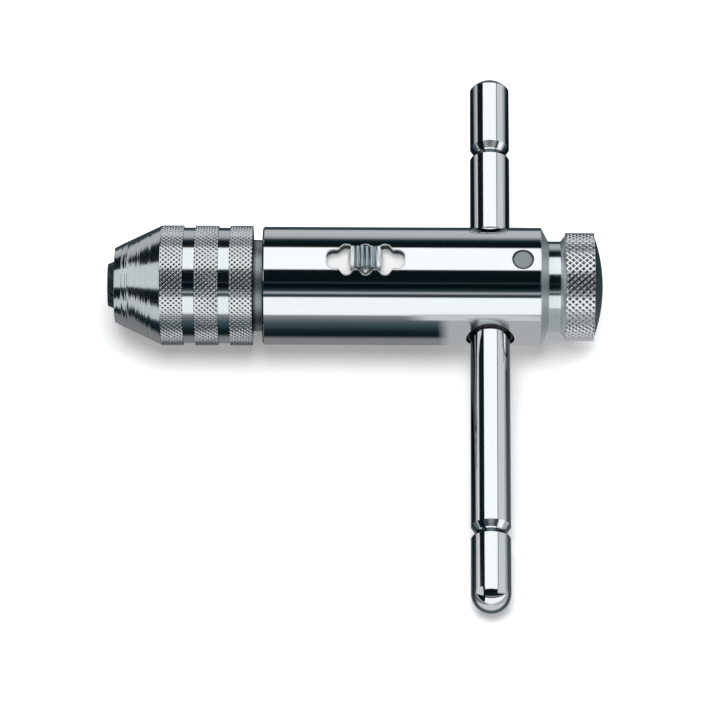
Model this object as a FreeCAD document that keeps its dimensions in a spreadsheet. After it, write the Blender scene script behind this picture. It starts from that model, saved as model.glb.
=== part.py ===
import FreeCAD
import Part
import math
import os
import re

import Sketcher
from FreeCAD import Rotation, Vector

# Ratchet tap wrench with a two-jaw chuck and a sliding T-bar, in millimetres.
# The wrench is drawn about its own axis: X runs from the jaws to the knob and is zero at the T-bar,
# -Y is the long end of the T-bar and +Z is the side of the ratchet switch.
# Each finished piece is then rolled about X until the long end of the bar touches the table,
# and moved so that the origin is the tap socket, on the axis at the face of the jaws.

SIZES = {
    # Tube of the body
    "tube_radius": 10.0,
    "tube_wall": 1.3,
    "tube_front": -38.45,
    "tube_rear": 8.5,
    "tube_edge": 0.3,
    "press_gap": 0.02,
    "running_gap": 0.05,
    # Reach of the cutters past what they cut
    "cut_margin": 1.0,
    # Switch window with its three detent lobes
    "window_middle": -21.05,
    "window_length": 13.2,
    "window_width": 3.4,
    "window_lobe_width": 5.65,
    "window_end_rounding": 1.2,
    "lobe_pitch": 3.25,
    "lobe_tip_length": 0.9,
    "lobe_foot_length": 2.8,
    "lobe_tip_rounding": 0.9,
    "lobe_foot_rounding": 0.4,
    # T-bar and its mouths in the body
    "bar_radius": 3.35,
    "bar_near_reach": 60.45,
    "bar_far_reach": 39.75,
    "bar_far_dome": 1.8,
    "bar_groove_from_end": 14.3,
    "bar_groove_width": 2.1,
    "bar_groove_depth": 0.77,
    "bar_gap": 0.1,
    "mouth_inner_radius": 4.02,
    "mouth_outer_radius": 4.1,
    "mouth_depth": 1.1,
    "mouth_rise": 0.2,
    "bar_ring_wire_radius": 0.31,
    "bar_ring_gap": 0.03,
    # Knob, pinned into the tube
    "knob_plug_front": -6.3,
    "knob_neck_radius": 7.7,
    "knob_neck_front": 9.8,
    "knob_neck_rear": 11.85,
    "knob_radius": 9.15,
    "knob_band_front": 12.7,
    "knob_band_rear": 17.55,
    "knob_apex": 19.1,
    "knob_edge": 0.15,
    "pin_place": 5.4,
    "pin_radius": 1.65,
    "pin_rim": 0.2,
    "pin_recess": 0.2,
    # Bush that carries the spindle and the pawl
    "bush_front_recess": 0.1,
    "bush_wall": 2.5,
    "bush_rear": -9.5,
    "recess_room": 0.5,
    "pocket_length": 10.8,
    "pocket_width": 3.2,
    "pawl_pin_radius": 0.55,
    "pawl_pin_sink": 0.1,
    "pawl_pin_length": 7.2,
    "pawl_pin_end_gap": 0.1,
    # Switch: plate under the window, ribbed button, detent spring, plunger
    "plate_thickness": 0.82,
    "plate_width": 7.2,
    "plate_length": 20.0,
    "plate_gap": 0.08,
    "detent_seat_depth": 0.25,
    "button_length": 5.9,
    "button_width": 3.8,
    "button_stem_width": 3.0,
    "button_stem_length": 5.3,
    "button_head_lift": 0.05,
    "button_head_height": 0.85,
    "button_foot_sink": 0.23,
    "button_end_slope": 0.55,
    "button_end_bulge": 0.7,
    "rib_count": 5,
    "rib_depth": 0.28,
    "rib_span": 3.9,
    "rib_groove_share": 0.6,
    "detent_lift": 0.38,
    "detent_thickness": 0.55,
    "detent_nose_reach": 2.55,
    "detent_nose_width": 1.7,
    "detent_arm_length": 4.6,
    "detent_slot_gap": 0.05,
    "detent_eye_wall": 0.3,
    "plunger_radius": 0.7,
    "plunger_head_radius": 0.95,
    "plunger_head_height": 0.35,
    "plunger_head_lift": 0.08,
    "plunger_gap": 0.06,
    "plunger_tip_gap": 0.03,
    "plunger_bore_roof": 0.9,
    "spring_end_gap": 0.02,
    "plunger_spring_wire": 0.13,
    "plunger_spring_pitch": 0.4,
    # Rocking pawl
    "pawl_length": 10.0,
    "pawl_width": 2.8,
    "pawl_headroom": 0.9,
    "pawl_height": 1.8,
    "pawl_rock": 6.4,
    "pawl_gap": 0.08,
    "pawl_inset": 0.3,
    "pawl_face_angle": 0.8,
    "nose_cutter_half": 4.0,
    "nose_cutter_foot": 3.0,
    # Spindle with two rows of ratchet teeth
    "spindle_radius": 7.75,
    "spindle_front": -52.2,
    "spindle_edge": 0.6,
    "tooth_count": 24,
    "tooth_depth": 0.9,
    "tooth_land_angle": 1.5,
    "tooth_gap_reach": 1.2,
    "tooth_row_length": 3.9,
    "tooth_row_offset": 3.95,
    "waist_step": 0.5,
    "tail_step": 0.55,
    "tail_rear": -7.4,
    "tail_groove_depth": 0.7,
    "circlip_thickness": 0.6,
    "circlip_reach": 1.0,
    "circlip_gap_angle": 70.0,
    "washer_side_gap": 1.2,
    "washer_thickness": 0.6,
    "washer_gap": 0.05,
    "slot_width": 8.5,
    "slot_bottom": -49.0,
    # Chuck nut
    "nut_nose": -63.5,
    "nut_nose_radius": 6.37,
    "nut_mouth_radius": 4.1,
    "nut_cone_angle": 20.0,
    "nut_radius": 10.15,
    "nut_groove_radius": 9.8,
    "nut_cone_rear": -55.55,
    "nut_groove_one_front": -51.85,
    "nut_groove_one_rear": -49.85,
    "nut_groove_two_front": -45.9,
    "nut_groove_two_rear": -43.95,
    "nut_rear": -40.15,
    "nut_band_edge": 0.15,
    "thread_gap": 0.1,
    "nut_counterbore_radius": 8.85,
    "nut_counterbore_depth": 1.5,
    "nut_ring_wire_radius": 0.5,
    "nut_ring_gap": 0.03,
    # Jaws
    "jaw_front": -64.7,
    "jaw_stem_radius": 5.4,
    "jaw_width": 8.4,
    "jaw_rear": -49.3,
    "jaw_rest_opening": 0.182,
    "jaw_gap": 0.05,
    "jaw_split_gap": 0.01,
    "jaw_notch": 2.69,
    "jaw_angle": 144.0,
    "jaw_spring_place": -52.0,
    "jaw_spring_side": 3.0,
    "jaw_spring_depth": 2.4,
    "jaw_spring_bore_radius": 0.75,
    "jaw_spring_radius": 0.5,
    "jaw_spring_wire": 0.12,
    "jaw_spring_pitch": 1.2,
}

# Radii and heights that follow from the tube's radius, from the outside inwards
FOLLOWING = {
    "tube_bore_radius": "tube_radius - tube_wall",
    "through_length": "3 * tube_radius",
    "mouth_seat": "tube_radius - mouth_depth",
    "mouth_top": "tube_radius + mouth_rise",
    "button_head_base": "tube_radius + button_head_lift",
    "button_head_top": "button_head_base + button_head_height",
    "plate_outer_radius": "tube_bore_radius - plate_gap",
    "plate_inner_radius": "plate_outer_radius - plate_thickness",
    "detent_base": "plate_outer_radius + detent_lift",
    "detent_top": "detent_base + detent_thickness",
    "plunger_top": "plate_outer_radius - detent_seat_depth + plunger_head_lift",
    "plunger_bore_top": "button_head_top - plunger_bore_roof",
    "bush_bore_radius": "tube_bore_radius - bush_wall",
    "journal_radius": "bush_bore_radius - running_gap",
    "tooth_root_radius": "journal_radius - tooth_depth",
    "waist_radius": "tooth_root_radius - waist_step",
    "tail_radius": "journal_radius - tail_step",
    "tail_groove_radius": "tail_radius - tail_groove_depth",
    "circlip_radius": "tail_radius + circlip_reach",
    "washer_radius": "tube_bore_radius - washer_side_gap",
    "pawl_pin_height": "journal_radius - pawl_pin_sink",
    "pawl_top": "plate_inner_radius - pawl_headroom",
    "pawl_foot": "pawl_top - pawl_height",
}

doc = FreeCAD.newDocument("ratchet_tap_wrench")
sheet = doc.addObject("Spreadsheet::Sheet", "sizes")
for row, (alias, value) in enumerate(SIZES.items(), start=1):
    sheet.set(f"A{row}", alias)
    sheet.set(f"B{row}", str(value))
    sheet.setAlias(f"B{row}", alias)
doc.recompute()

finished = []


def spelled_out(word):
    """Point one size name at its cell in the sheet, or write out what it follows from."""
    name = word[0]
    if name in FOLLOWING:
        return f"({bound(FOLLOWING[name])})"
    return f"sizes.{name}" if name in SIZES else name


def bound(text):
    """Make an expression of sizes into one of cells in the sheet."""
    return re.sub(r"[a-z_]+", spelled_out, str(text))


def number(text):
    """Give the present value of an expression of sizes."""
    return float(sheet.evalExpression(bound(text)))


def bind(thing, **expressions):
    """Bind properties of an object to expressions of sizes."""
    for name, text in expressions.items():
        thing.setExpression(name, bound(text))


def put(thing, x=0, y=0, z=0):
    """Bind the place of an object's base point."""
    for axis, text in (("x", x), ("y", y), ("z", z)):
        thing.setExpression(f"Placement.Base.{axis}", bound(text))


ROLL = "asin((nut_radius - bar_radius) / (bar_near_reach - bar_radius))"
HALF_WAIST = "(tooth_row_offset - tooth_row_length / 2)"


def finish(thing, label, turn="0"):
    """Name a finished piece and set it on the table with its own turn about the tool axis."""
    thing.Label = label
    thing.Placement.Rotation = Rotation(Vector(1, 0, 0), 1)
    thing.setExpression("Placement.Base.x", bound("-jaw_front"))
    thing.setExpression("Placement.Rotation.Angle", bound(f"{ROLL} + ({turn}) * 1 deg"))
    finished.append(thing)
    return thing


def new_body(name):
    return doc.addObject("PartDesign::Body", name)


def origin_feature(body, role):
    return next(feature for feature in body.Origin.OriginFeatures if feature.Role == role)


def new_sketch(body, plane, offset="0"):
    """Start a sketch on one of a body's own origin planes, moved along that plane's normal."""
    sketch = body.newObject("Sketcher::SketchObject", body.Name + "_sketch")
    sketch.AttachmentSupport = [(origin_feature(body, plane), "")]
    sketch.MapMode = "FlatFace"
    sketch.setExpression("AttachmentOffset.Base.z", bound(offset))
    return sketch


def hold_point(sketch, edge, end, u, v):
    """Hold one end of an edge at a place given by two expressions."""
    for direction, text in (("DistanceX", u), ("DistanceY", v)):
        value = number(text)
        index = sketch.addConstraint(Sketcher.Constraint(direction, -1, 1, edge, end, value))
        sketch.setExpression(f"Constraints[{index}]", bound(text))


def arc_between(start, finish_point, radius, side):
    """Give the counterclockwise arc that bulges to the left (1) or right (-1) of the way."""
    middle = (start + finish_point) * 0.5
    half = (finish_point - start) * 0.5
    rise = radius - math.sqrt(radius * radius - half.Length * half.Length)
    across = Vector(-half.y, half.x, 0).normalize() * (rise * side)
    if side > 0:
        return Part.Arc(finish_point, middle + across, start)
    return Part.Arc(start, middle + across, finish_point)


def outline(sketch, points, arcs=None):
    """Draw a closed outline through points of expressions. arcs gives {edge: (radius, side)}."""
    arcs = arcs or {}
    corners = [Vector(number(u), number(v), 0) for u, v in points]
    count = len(corners)
    ends = []
    for edge in range(count):
        here = corners[edge]
        there = corners[(edge + 1) % count]
        if edge in arcs:
            radius, side = arcs[edge]
            sketch.addGeometry(arc_between(here, there, number(radius), side))
            ends.append((2, 1) if side > 0 else (1, 2))
        else:
            sketch.addGeometry(Part.LineSegment(here, there))
            ends.append((1, 2))
    for edge in range(count):
        after = (edge + 1) % count
        sketch.addConstraint(Sketcher.Constraint("Coincident", edge, ends[edge][1], after, ends[after][0]))
    for edge, (u, v) in enumerate(points):
        hold_point(sketch, edge, ends[edge][0], u, v)
    for edge, (radius, _) in arcs.items():
        index = sketch.addConstraint(Sketcher.Constraint("Radius", edge, number(radius)))
        sketch.setExpression(f"Constraints[{index}]", bound(radius))
    return sketch


def cord_section(u, v, radius):
    """Give the corners of the six-sided section that stands for a rubber ring's round cord."""
    corners = []
    for side in range(6):
        angle = f"({60 * side} * 1 deg)"
        corners.append((f"{u} + {radius} * cos{angle}", f"{v} + {radius} * sin{angle}"))
    return corners


def circle(sketch, u, v, radius):
    """Draw a circle whose centre and radius are expressions."""
    centre = Vector(number(u), number(v), 0)
    edge = sketch.addGeometry(Part.Circle(centre, Vector(0, 0, 1), number(radius)))
    hold_point(sketch, edge, 3, u, v)
    index = sketch.addConstraint(Sketcher.Constraint("Radius", edge, number(radius)))
    sketch.setExpression(f"Constraints[{index}]", bound(radius))
    return sketch


def revolve(body, sketch, axis="H_Axis"):
    """Turn a sketch a full turn about one of its own axes."""
    feature = body.newObject("PartDesign::Revolution", body.Name + "_turned")
    feature.Profile = sketch
    feature.ReferenceAxis = (sketch, [axis])
    feature.Angle = 360.0
    return feature


def pad(body, sketch, length, both_ways=False):
    """Pad a sketch along its plane's normal."""
    feature = body.newObject("PartDesign::Pad", body.Name + "_pad")
    feature.Profile = sketch
    feature.Midplane = both_ways
    bind(feature, Length=length)
    return feature


def turned(name, points, arcs=None, axis="H_Axis", offset="0"):
    """Make a body by turning an outline about the tool axis, or the bar's axis."""
    body = new_body(name)
    revolve(body, outline(new_sketch(body, "XY_Plane", offset), points, arcs), axis)
    return body


def prism(name, plane, points, length, offset="0", arcs=None, both_ways=True):
    """Make a body by padding an outline."""
    body = new_body(name)
    pad(body, outline(new_sketch(body, plane, offset), points, arcs), length, both_ways)
    return body


def rod(name, plane, u, v, radius, offset, length, both_ways=False):
    """Make a round body across one of the planes."""
    body = new_body(name)
    pad(body, circle(new_sketch(body, plane, offset), u, v, radius), length, both_ways)
    return body


def box(name, x, y, z, length, width, height):
    """Make a block from its lowest corner and its size."""
    block = doc.addObject("Part::Box", name)
    bind(block, Length=length, Width=width, Height=height)
    put(block, x, y, z)
    return block


def cut(name, base, *tools):
    """Cut tools from a base, one after the other."""
    result = base
    for index, tool in enumerate(tools, start=1):
        last = index == len(tools)
        step = doc.addObject("Part::Cut", name if last else f"{name}_step_{index}")
        step.Base = result
        step.Tool = tool
        result = step
    return result


def common(name, base, tool):
    """Keep what two shapes share."""
    shared = doc.addObject("Part::Common", name)
    shared.Base = base
    shared.Tool = tool
    return shared


def fuse(name, *shapes):
    """Join shapes into one."""
    joined = doc.addObject("Part::MultiFuse", name)
    joined.Shapes = list(shapes)
    return joined


def coil(name, radius, wire, pitch, length, x, y, z):
    """Wind a square wire into an upright coil spring."""
    path = doc.addObject("Part::Helix", name + "_path")
    bind(path, Radius=radius, Pitch=pitch, Height=length)
    put(path, x, y, z)
    section = doc.addObject("Part::RegularPolygon", name + "_section")
    section.Polygon = 4
    section.Placement.Rotation = Rotation(Vector(1, 0, 0), 90)
    bind(section, Circumradius=wire)
    put(section, f"{x} + {radius}", y, z)
    spring = doc.addObject("Part::Sweep", name)
    spring.Sections = [section]
    spring.Spine = (path, [])
    spring.Solid = True
    spring.Frenet = True
    return spring


def upright_edges(shape, places, tolerance=0.02):
    """Name the edges that stand along Z at the given places."""
    names = []
    for index, edge in enumerate(shape.Edges, start=1):
        first = edge.Vertexes[0].Point
        last = edge.Vertexes[-1].Point
        if abs(first.x - last.x) > tolerance or abs(first.y - last.y) > tolerance:
            continue
        if any(abs(first.x - x) < tolerance and abs(first.y - y) < tolerance for x, y in places):
            names.append(f"Edge{index}")
    return names


def round_edges(body, feature, places, radius):
    """Round the upright edges of a body's last feature at the given places."""
    doc.recompute()
    rounding = body.newObject("PartDesign::Fillet", body.Name + "_rounding")
    rounding.Base = (feature, upright_edges(feature.Shape, places))
    bind(rounding, Radius=radius)
    doc.recompute()
    return rounding


def window_cutter():
    """The switch window: a slot with rounded ends and three detent lobes along each side."""
    side = []
    for lobe in (-1, 0, 1):
        middle = f"window_middle + ({lobe}) * lobe_pitch"
        side.append((f"{middle} - lobe_foot_length / 2", "window_width / 2", "foot"))
        side.append((f"{middle} - lobe_tip_length / 2", "window_lobe_width / 2", "tip"))
        side.append((f"{middle} + lobe_tip_length / 2", "window_lobe_width / 2", "tip"))
        side.append((f"{middle} + lobe_foot_length / 2", "window_width / 2", "foot"))
    start = ("window_middle - window_length / 2", "window_width / 2", "end")
    stop = ("window_middle + window_length / 2", "window_width / 2", "end")
    upper = [start] + side + [stop]
    lower = [(x, f"-({y})", kind) for x, y, kind in reversed(upper)]
    corners = upper + lower
    body = new_body("window_cutter")
    points = [(x, y) for x, y, _ in corners]
    sketch = outline(new_sketch(body, "XY_Plane", "plate_inner_radius - cut_margin"), points)
    feature = pad(body, sketch, "tube_radius - plate_inner_radius + 2 * cut_margin")
    radii = {"foot": "lobe_foot_rounding", "tip": "lobe_tip_rounding", "end": "window_end_rounding"}
    for kind, radius in radii.items():
        places = [(number(x), number(y)) for x, y, mark in corners if mark == kind]
        feature = round_edges(body, feature, places, radius)
    return body


def bar_hole(name):
    """The hole for the T-bar, right through the body."""
    return rod(name, "XZ_Plane", "0", "0", "bar_radius + bar_gap", "0", "through_length", True)


def bar_mouths(name):
    """The two flared mouths of the bar hole, with a flat seat for each rubber ring."""
    near = [
        ("0", "-mouth_seat"),
        ("mouth_inner_radius", "-mouth_seat"),
        ("mouth_outer_radius", "-mouth_top"),
        ("0", "-mouth_top"),
    ]
    far = [
        ("0", "mouth_seat"),
        ("mouth_inner_radius", "mouth_seat"),
        ("mouth_outer_radius", "mouth_top"),
        ("0", "mouth_top"),
    ]
    near_mouth = turned(name + "_near", near, axis="V_Axis")
    far_mouth = turned(name + "_far", far, axis="V_Axis")
    return fuse(name, near_mouth, far_mouth)


def housing():
    """The tube of the body, with the switch window, the bar hole and the holes for the cross pin."""
    tube = turned(
        "tube",
        [
            ("tube_front", "tube_bore_radius"),
            ("tube_front", "tube_radius - tube_edge"),
            ("tube_front + tube_edge", "tube_radius"),
            ("tube_rear", "tube_radius"),
            ("tube_rear", "tube_bore_radius"),
        ],
    )
    hole_radius = "pin_radius + pin_rim"
    pin_holes = rod("tube_pin_holes", "XY_Plane", "pin_place", "0", hole_radius, "0", "through_length", True)
    cutters = (window_cutter(), bar_hole("tube_bar_hole"), bar_mouths("tube_mouths"), pin_holes)
    finish(cut("housing_shape", tube, *cutters), "housing")


def rear_knob():
    """The knob with its neck, and the plug that fills the rear of the tube."""
    plug_radius = "tube_bore_radius - press_gap"
    rise = "(knob_apex - knob_band_rear)"
    dome_foot = "(knob_radius - knob_edge)"
    dome_radius = f"({dome_foot} * {dome_foot} + {rise} * {rise}) / (2 * {rise})"
    solid = turned(
        "knob_solid",
        [
            ("knob_plug_front", "0"),
            ("knob_plug_front", plug_radius),
            ("tube_rear", plug_radius),
            ("tube_rear", "tube_radius"),
            ("knob_neck_front", "knob_neck_radius"),
            ("knob_neck_rear", "knob_neck_radius"),
            ("knob_band_front", "knob_radius - knob_edge"),
            ("knob_band_front + knob_edge", "knob_radius"),
            ("knob_band_rear - knob_edge", "knob_radius"),
            ("knob_band_rear", "knob_radius - knob_edge"),
            ("knob_apex", "0"),
        ],
        {9: (dome_radius, 1)},
    )
    radius = "pin_radius + press_gap"
    pin_hole = rod("knob_pin_hole", "XY_Plane", "pin_place", "0", radius, "0", "through_length", True)
    cutters = (bar_hole("knob_bar_hole"), pin_hole)
    finish(cut("knob_shape", solid, *cutters), "rear_knob")


def knob_pin():
    """The cross pin that holds the knob's plug in the tube."""
    length = "2 * (tube_radius - pin_recess)"
    finish(rod("pin", "XY_Plane", "pin_place", "0", "pin_radius", "0", length, True), "knob_pin")


def bar_rings():
    """The rubber rings round the bar, one in each mouth, that hold it where it is slid to."""
    ring_radius = "bar_radius + bar_ring_gap + bar_ring_wire_radius"
    place = "mouth_seat + bar_ring_gap + bar_ring_wire_radius"
    for label, sign in (("bar_ring_near", "-"), ("bar_ring_far", "+")):
        section = cord_section(ring_radius, f"0 {sign} ({place})", "bar_ring_wire_radius")
        finish(turned(label + "_body", section, axis="V_Axis"), label)


def handle_bar():
    """The sliding T-bar: a ball end, a flatter end and a V groove near each."""
    near = "-bar_near_reach"
    far = "bar_far_reach"
    groove = "bar_groove_width / 2"
    near_groove = f"{near} + bar_groove_from_end"
    far_groove = f"{far} - bar_groove_from_end"
    far_dome = "(bar_radius * bar_radius + bar_far_dome * bar_far_dome) / (2 * bar_far_dome)"
    bar = turned(
        "bar",
        [
            ("0", near),
            ("bar_radius", f"{near} + bar_radius"),
            ("bar_radius", f"{near_groove} - {groove}"),
            ("bar_radius - bar_groove_depth", near_groove),
            ("bar_radius", f"{near_groove} + {groove}"),
            ("bar_radius", f"{far_groove} - {groove}"),
            ("bar_radius - bar_groove_depth", far_groove),
            ("bar_radius", f"{far_groove} + {groove}"),
            ("bar_radius", f"{far} - bar_far_dome"),
            ("0", far),
        ],
        {0: ("bar_radius", -1), 8: (far_dome, -1)},
        axis="V_Axis",
    )
    finish(bar, "handle_bar")


def ratchet_bush():
    """The bush that is pressed into the tube, with the pawl's pocket and the switch's recess."""
    ring = turned(
        "bush_ring",
        [
            ("tube_front + bush_front_recess", "bush_bore_radius"),
            ("tube_front + bush_front_recess", "tube_bore_radius - press_gap"),
            ("bush_rear", "tube_bore_radius - press_gap"),
            ("bush_rear", "bush_bore_radius"),
        ],
    )
    recess_front = "window_middle - plate_length / 2 - lobe_pitch - recess_room"
    recess_block = box(
        "recess_block",
        recess_front,
        "-plate_width / 2 - plate_gap",
        "0",
        f"bush_rear - ({recess_front}) + cut_margin",
        "plate_width + 2 * plate_gap",
        "tube_radius",
    )
    radius = "plate_inner_radius - plate_gap"
    start = "tube_front - cut_margin"
    length = "bush_rear - tube_front + 2 * cut_margin"
    recess_floor = rod("recess_floor", "YZ_Plane", "0", "0", radius, start, length)
    recess = cut("switch_recess", recess_block, recess_floor)
    pocket = box(
        "pawl_pocket",
        "window_middle - pocket_length / 2",
        "-pocket_width / 2",
        "pawl_foot - cut_margin",
        "pocket_length",
        "pocket_width",
        "plate_outer_radius - pawl_foot + cut_margin",
    )
    pin_hole_radius = "pawl_pin_radius + press_gap"
    pin_hole = rod(
        "pawl_pin_hole",
        "XZ_Plane",
        "window_middle",
        "pawl_pin_height",
        pin_hole_radius,
        "0",
        "pawl_pin_length + 2 * pawl_pin_end_gap",
        True,
    )
    finish(cut("bush_shape", ring, recess, pocket, pin_hole), "ratchet_bush")


def pawl_pin():
    """The pivot pin of the pawl."""
    pin = rod(
        "pawl_pivot",
        "XZ_Plane",
        "window_middle",
        "pawl_pin_height",
        "pawl_pin_radius",
        "0",
        "pawl_pin_length",
        True,
    )
    finish(pin, "pawl_pin")


def tooth_gap_points(hand, reach="1"):
    """One tooth gap: a radial face and a slope up to the next tooth, for a left or right hand."""
    slope_angle = "(360 / tooth_count - tooth_land_angle) * 1 deg"
    run = f"(journal_radius * sin({slope_angle}))"
    rise = f"(journal_radius * cos({slope_angle}) - tooth_root_radius)"
    return [
        ("0", "tooth_root_radius"),
        (f"{hand} * {run} * ({reach}) / ({rise})", f"tooth_root_radius + ({reach})"),
        ("0", f"tooth_root_radius + ({reach})"),
    ]


def spindle():
    """The spindle: threaded nose with the jaw slot, journal, and two rows of opposite ratchet teeth."""
    body = new_body("spindle_body")
    row_front = "window_middle - tooth_row_offset"
    groove_front = "bush_rear + 2 * washer_gap + washer_thickness"
    sketch = outline(
        new_sketch(body, "XY_Plane"),
        [
            ("spindle_front", "0"),
            ("spindle_front", "spindle_radius - spindle_edge"),
            ("spindle_front + spindle_edge", "spindle_radius"),
            ("tube_front", "spindle_radius"),
            ("tube_front", "journal_radius"),
            (f"window_middle - {HALF_WAIST}", "journal_radius"),
            (f"window_middle - {HALF_WAIST}", "waist_radius"),
            (f"window_middle + {HALF_WAIST}", "waist_radius"),
            (f"window_middle + {HALF_WAIST}", "journal_radius"),
            ("bush_rear", "journal_radius"),
            ("bush_rear", "tail_radius"),
            (groove_front, "tail_radius"),
            (groove_front, "tail_groove_radius"),
            (f"{groove_front} + circlip_thickness + washer_gap", "tail_groove_radius"),
            (f"{groove_front} + circlip_thickness + washer_gap", "tail_radius"),
            ("tail_rear", "tail_radius"),
            ("tail_rear", "0"),
        ],
    )
    feature = revolve(body, sketch)
    for hand, place in (("1", row_front), ("-1", "window_middle + tooth_row_offset")):
        gap_sketch = new_sketch(body, "YZ_Plane", f"{place} + tooth_row_length / 2")
        outline(gap_sketch, tooth_gap_points(hand, reach="tooth_gap_reach"))
        doc.recompute()
        volume = feature.Shape.Volume
        pocket = body.newObject("PartDesign::Pocket", "tooth_gap")
        pocket.Profile = gap_sketch
        bind(pocket, Length="tooth_row_length")
        doc.recompute()
        if pocket.Shape.Volume >= volume - 0.01:
            raise RuntimeError("the tooth gap cuts nothing")
        pattern = body.newObject("PartDesign::PolarPattern", "tooth_row")
        pattern.Originals = [pocket]
        pattern.Axis = (origin_feature(body, "X_Axis"), [""])
        pattern.Angle = 360.0
        bind(pattern, Occurrences="tooth_count")
        body.Tip = pattern
        doc.recompute()
        feature = pattern
    slot = box(
        "jaw_slot_block",
        "spindle_front - cut_margin",
        "-slot_width / 2",
        "-spindle_radius - cut_margin",
        "slot_bottom - spindle_front + cut_margin",
        "slot_width",
        "2 * (spindle_radius + cut_margin)",
    )
    turned_slot = turned_about_axis("jaw_slot", slot, "jaw_angle")
    finish(cut("spindle_shape", body, turned_slot), "spindle")


def turned_about_axis(name, shape, turn):
    """Turn a shape about the tool axis by an expression, as a compound of its own."""
    holder = doc.addObject("Part::Compound", name)
    holder.Links = [shape]
    holder.Placement.Rotation = Rotation(Vector(1, 0, 0), 1)
    holder.setExpression("Placement.Rotation.Angle", bound(f"({turn}) * 1 deg"))
    return holder


def thrust_washer():
    """The washer between the bush and the circlip."""
    front = "bush_rear + washer_gap"
    washer = turned(
        "washer",
        [
            (front, "tail_radius + washer_gap"),
            (front, "washer_radius"),
            (f"{front} + washer_thickness", "washer_radius"),
            (f"{front} + washer_thickness", "tail_radius + washer_gap"),
        ],
    )
    finish(washer, "thrust_washer")


def circlip():
    """The open spring ring that keeps the spindle in its bush."""
    front = "bush_rear + 2 * washer_gap + washer_thickness"
    ring = turned(
        "circlip_ring",
        [
            (front, "tail_groove_radius + press_gap"),
            (front, "circlip_radius"),
            (f"{front} + circlip_thickness", "circlip_radius"),
            (f"{front} + circlip_thickness", "tail_groove_radius + press_gap"),
        ],
    )
    half_gap = "(circlip_gap_angle / 2) * 1 deg"
    opening = prism(
        "circlip_opening",
        "YZ_Plane",
        [
            ("0", "0"),
            (f"-2 * circlip_radius * sin({half_gap})", f"-2 * circlip_radius * cos({half_gap})"),
            (f"2 * circlip_radius * sin({half_gap})", f"-2 * circlip_radius * cos({half_gap})"),
        ],
        "4 * circlip_thickness",
        offset=front,
    )
    finish(cut("circlip_shape", ring, opening), "circlip")


def nut_inner_radius(x):
    """The nut's inner cone at a place along the axis."""
    return f"(nut_mouth_radius + tan(nut_cone_angle * 1 deg) * ({x} - nut_nose))"


def chuck_nut():
    """The knurled chuck nut, with the cone that closes the jaws and a thread behind it."""
    bore = "spindle_radius + thread_gap"
    cone_rear = f"nut_nose + ({bore} - nut_mouth_radius) / tan(nut_cone_angle * 1 deg)"
    counterbore = "nut_rear - nut_counterbore_depth"
    nut = turned(
        "nut",
        [
            ("nut_nose", "nut_mouth_radius"),
            ("nut_nose", "nut_nose_radius"),
            ("nut_cone_rear", "nut_radius"),
            ("nut_groove_one_front - nut_band_edge", "nut_radius"),
            ("nut_groove_one_front", "nut_groove_radius"),
            ("nut_groove_one_rear", "nut_groove_radius"),
            ("nut_groove_one_rear + nut_band_edge", "nut_radius"),
            ("nut_groove_two_front - nut_band_edge", "nut_radius"),
            ("nut_groove_two_front", "nut_groove_radius"),
            ("nut_groove_two_rear", "nut_groove_radius"),
            ("nut_groove_two_rear + nut_band_edge", "nut_radius"),
            ("nut_rear - nut_band_edge", "nut_radius"),
            ("nut_rear", "nut_radius - nut_band_edge"),
            ("nut_rear", "nut_counterbore_radius"),
            (counterbore, "nut_counterbore_radius"),
            (counterbore, bore),
            (cone_rear, bore),
        ],
    )
    finish(nut, "chuck_nut")


def nut_ring():
    """The rubber ring in the rear of the nut. It slides along the spindle with the nut."""
    place = "nut_rear - nut_counterbore_depth + nut_ring_wire_radius + nut_ring_gap"
    ring_radius = "spindle_radius + nut_ring_gap + nut_ring_wire_radius"
    finish(turned("nut_ring_body", cord_section(place, ring_radius, "nut_ring_wire_radius")), "nut_ring")


def jaw_solid(name, side):
    """One jaw: half of a coned rod, flattened to the slot, with a V notch and two spring holes."""
    stem_place = "nut_nose + (jaw_stem_radius + jaw_rest_opening + jaw_gap - nut_mouth_radius)"
    stem_place = f"{stem_place} / tan(nut_cone_angle * 1 deg)"
    front_radius = f"{nut_inner_radius('jaw_front')} - jaw_rest_opening - jaw_gap"
    round_part = turned(
        name + "_round",
        [
            ("jaw_front", "0"),
            ("jaw_front", front_radius),
            (stem_place, "jaw_stem_radius"),
            ("jaw_rear", "jaw_stem_radius"),
            ("jaw_rear", "0"),
        ],
        offset=f"{side} * jaw_rest_opening",
    )
    middle = "jaw_rest_opening + jaw_split_gap + jaw_stem_radius"
    half = box(
        name + "_half",
        "jaw_front - cut_margin",
        "-jaw_width / 2",
        f"{side} * ({middle}) - jaw_stem_radius",
        "jaw_rear - jaw_front + 2 * cut_margin",
        "jaw_width",
        "2 * jaw_stem_radius",
    )
    reach = "jaw_notch / sqrt(2)"
    split = f"{side} * jaw_rest_opening"
    notch = prism(
        name + "_notch",
        "YZ_Plane",
        [
            (f"-{reach}", split),
            ("0", f"{split} + {reach}"),
            (reach, split),
            ("0", f"{split} - {reach}"),
        ],
        "jaw_rear - jaw_front + 2 * cut_margin",
        offset="jaw_front - cut_margin",
        both_ways=False,
    )
    holes = []
    depth = "(jaw_rest_opening + jaw_spring_depth)"
    for hand in ("-", "+"):
        hole = rod(
            name + "_spring_hole",
            "XY_Plane",
            "jaw_spring_place",
            f"0 {hand} jaw_spring_side",
            "jaw_spring_bore_radius",
            f"({side} - 1) / 2 * {depth}",
            depth,
        )
        holes.append(hole)
    return cut(name + "_shape", common(name + "_slab", round_part, half), notch, *holes)


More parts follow.
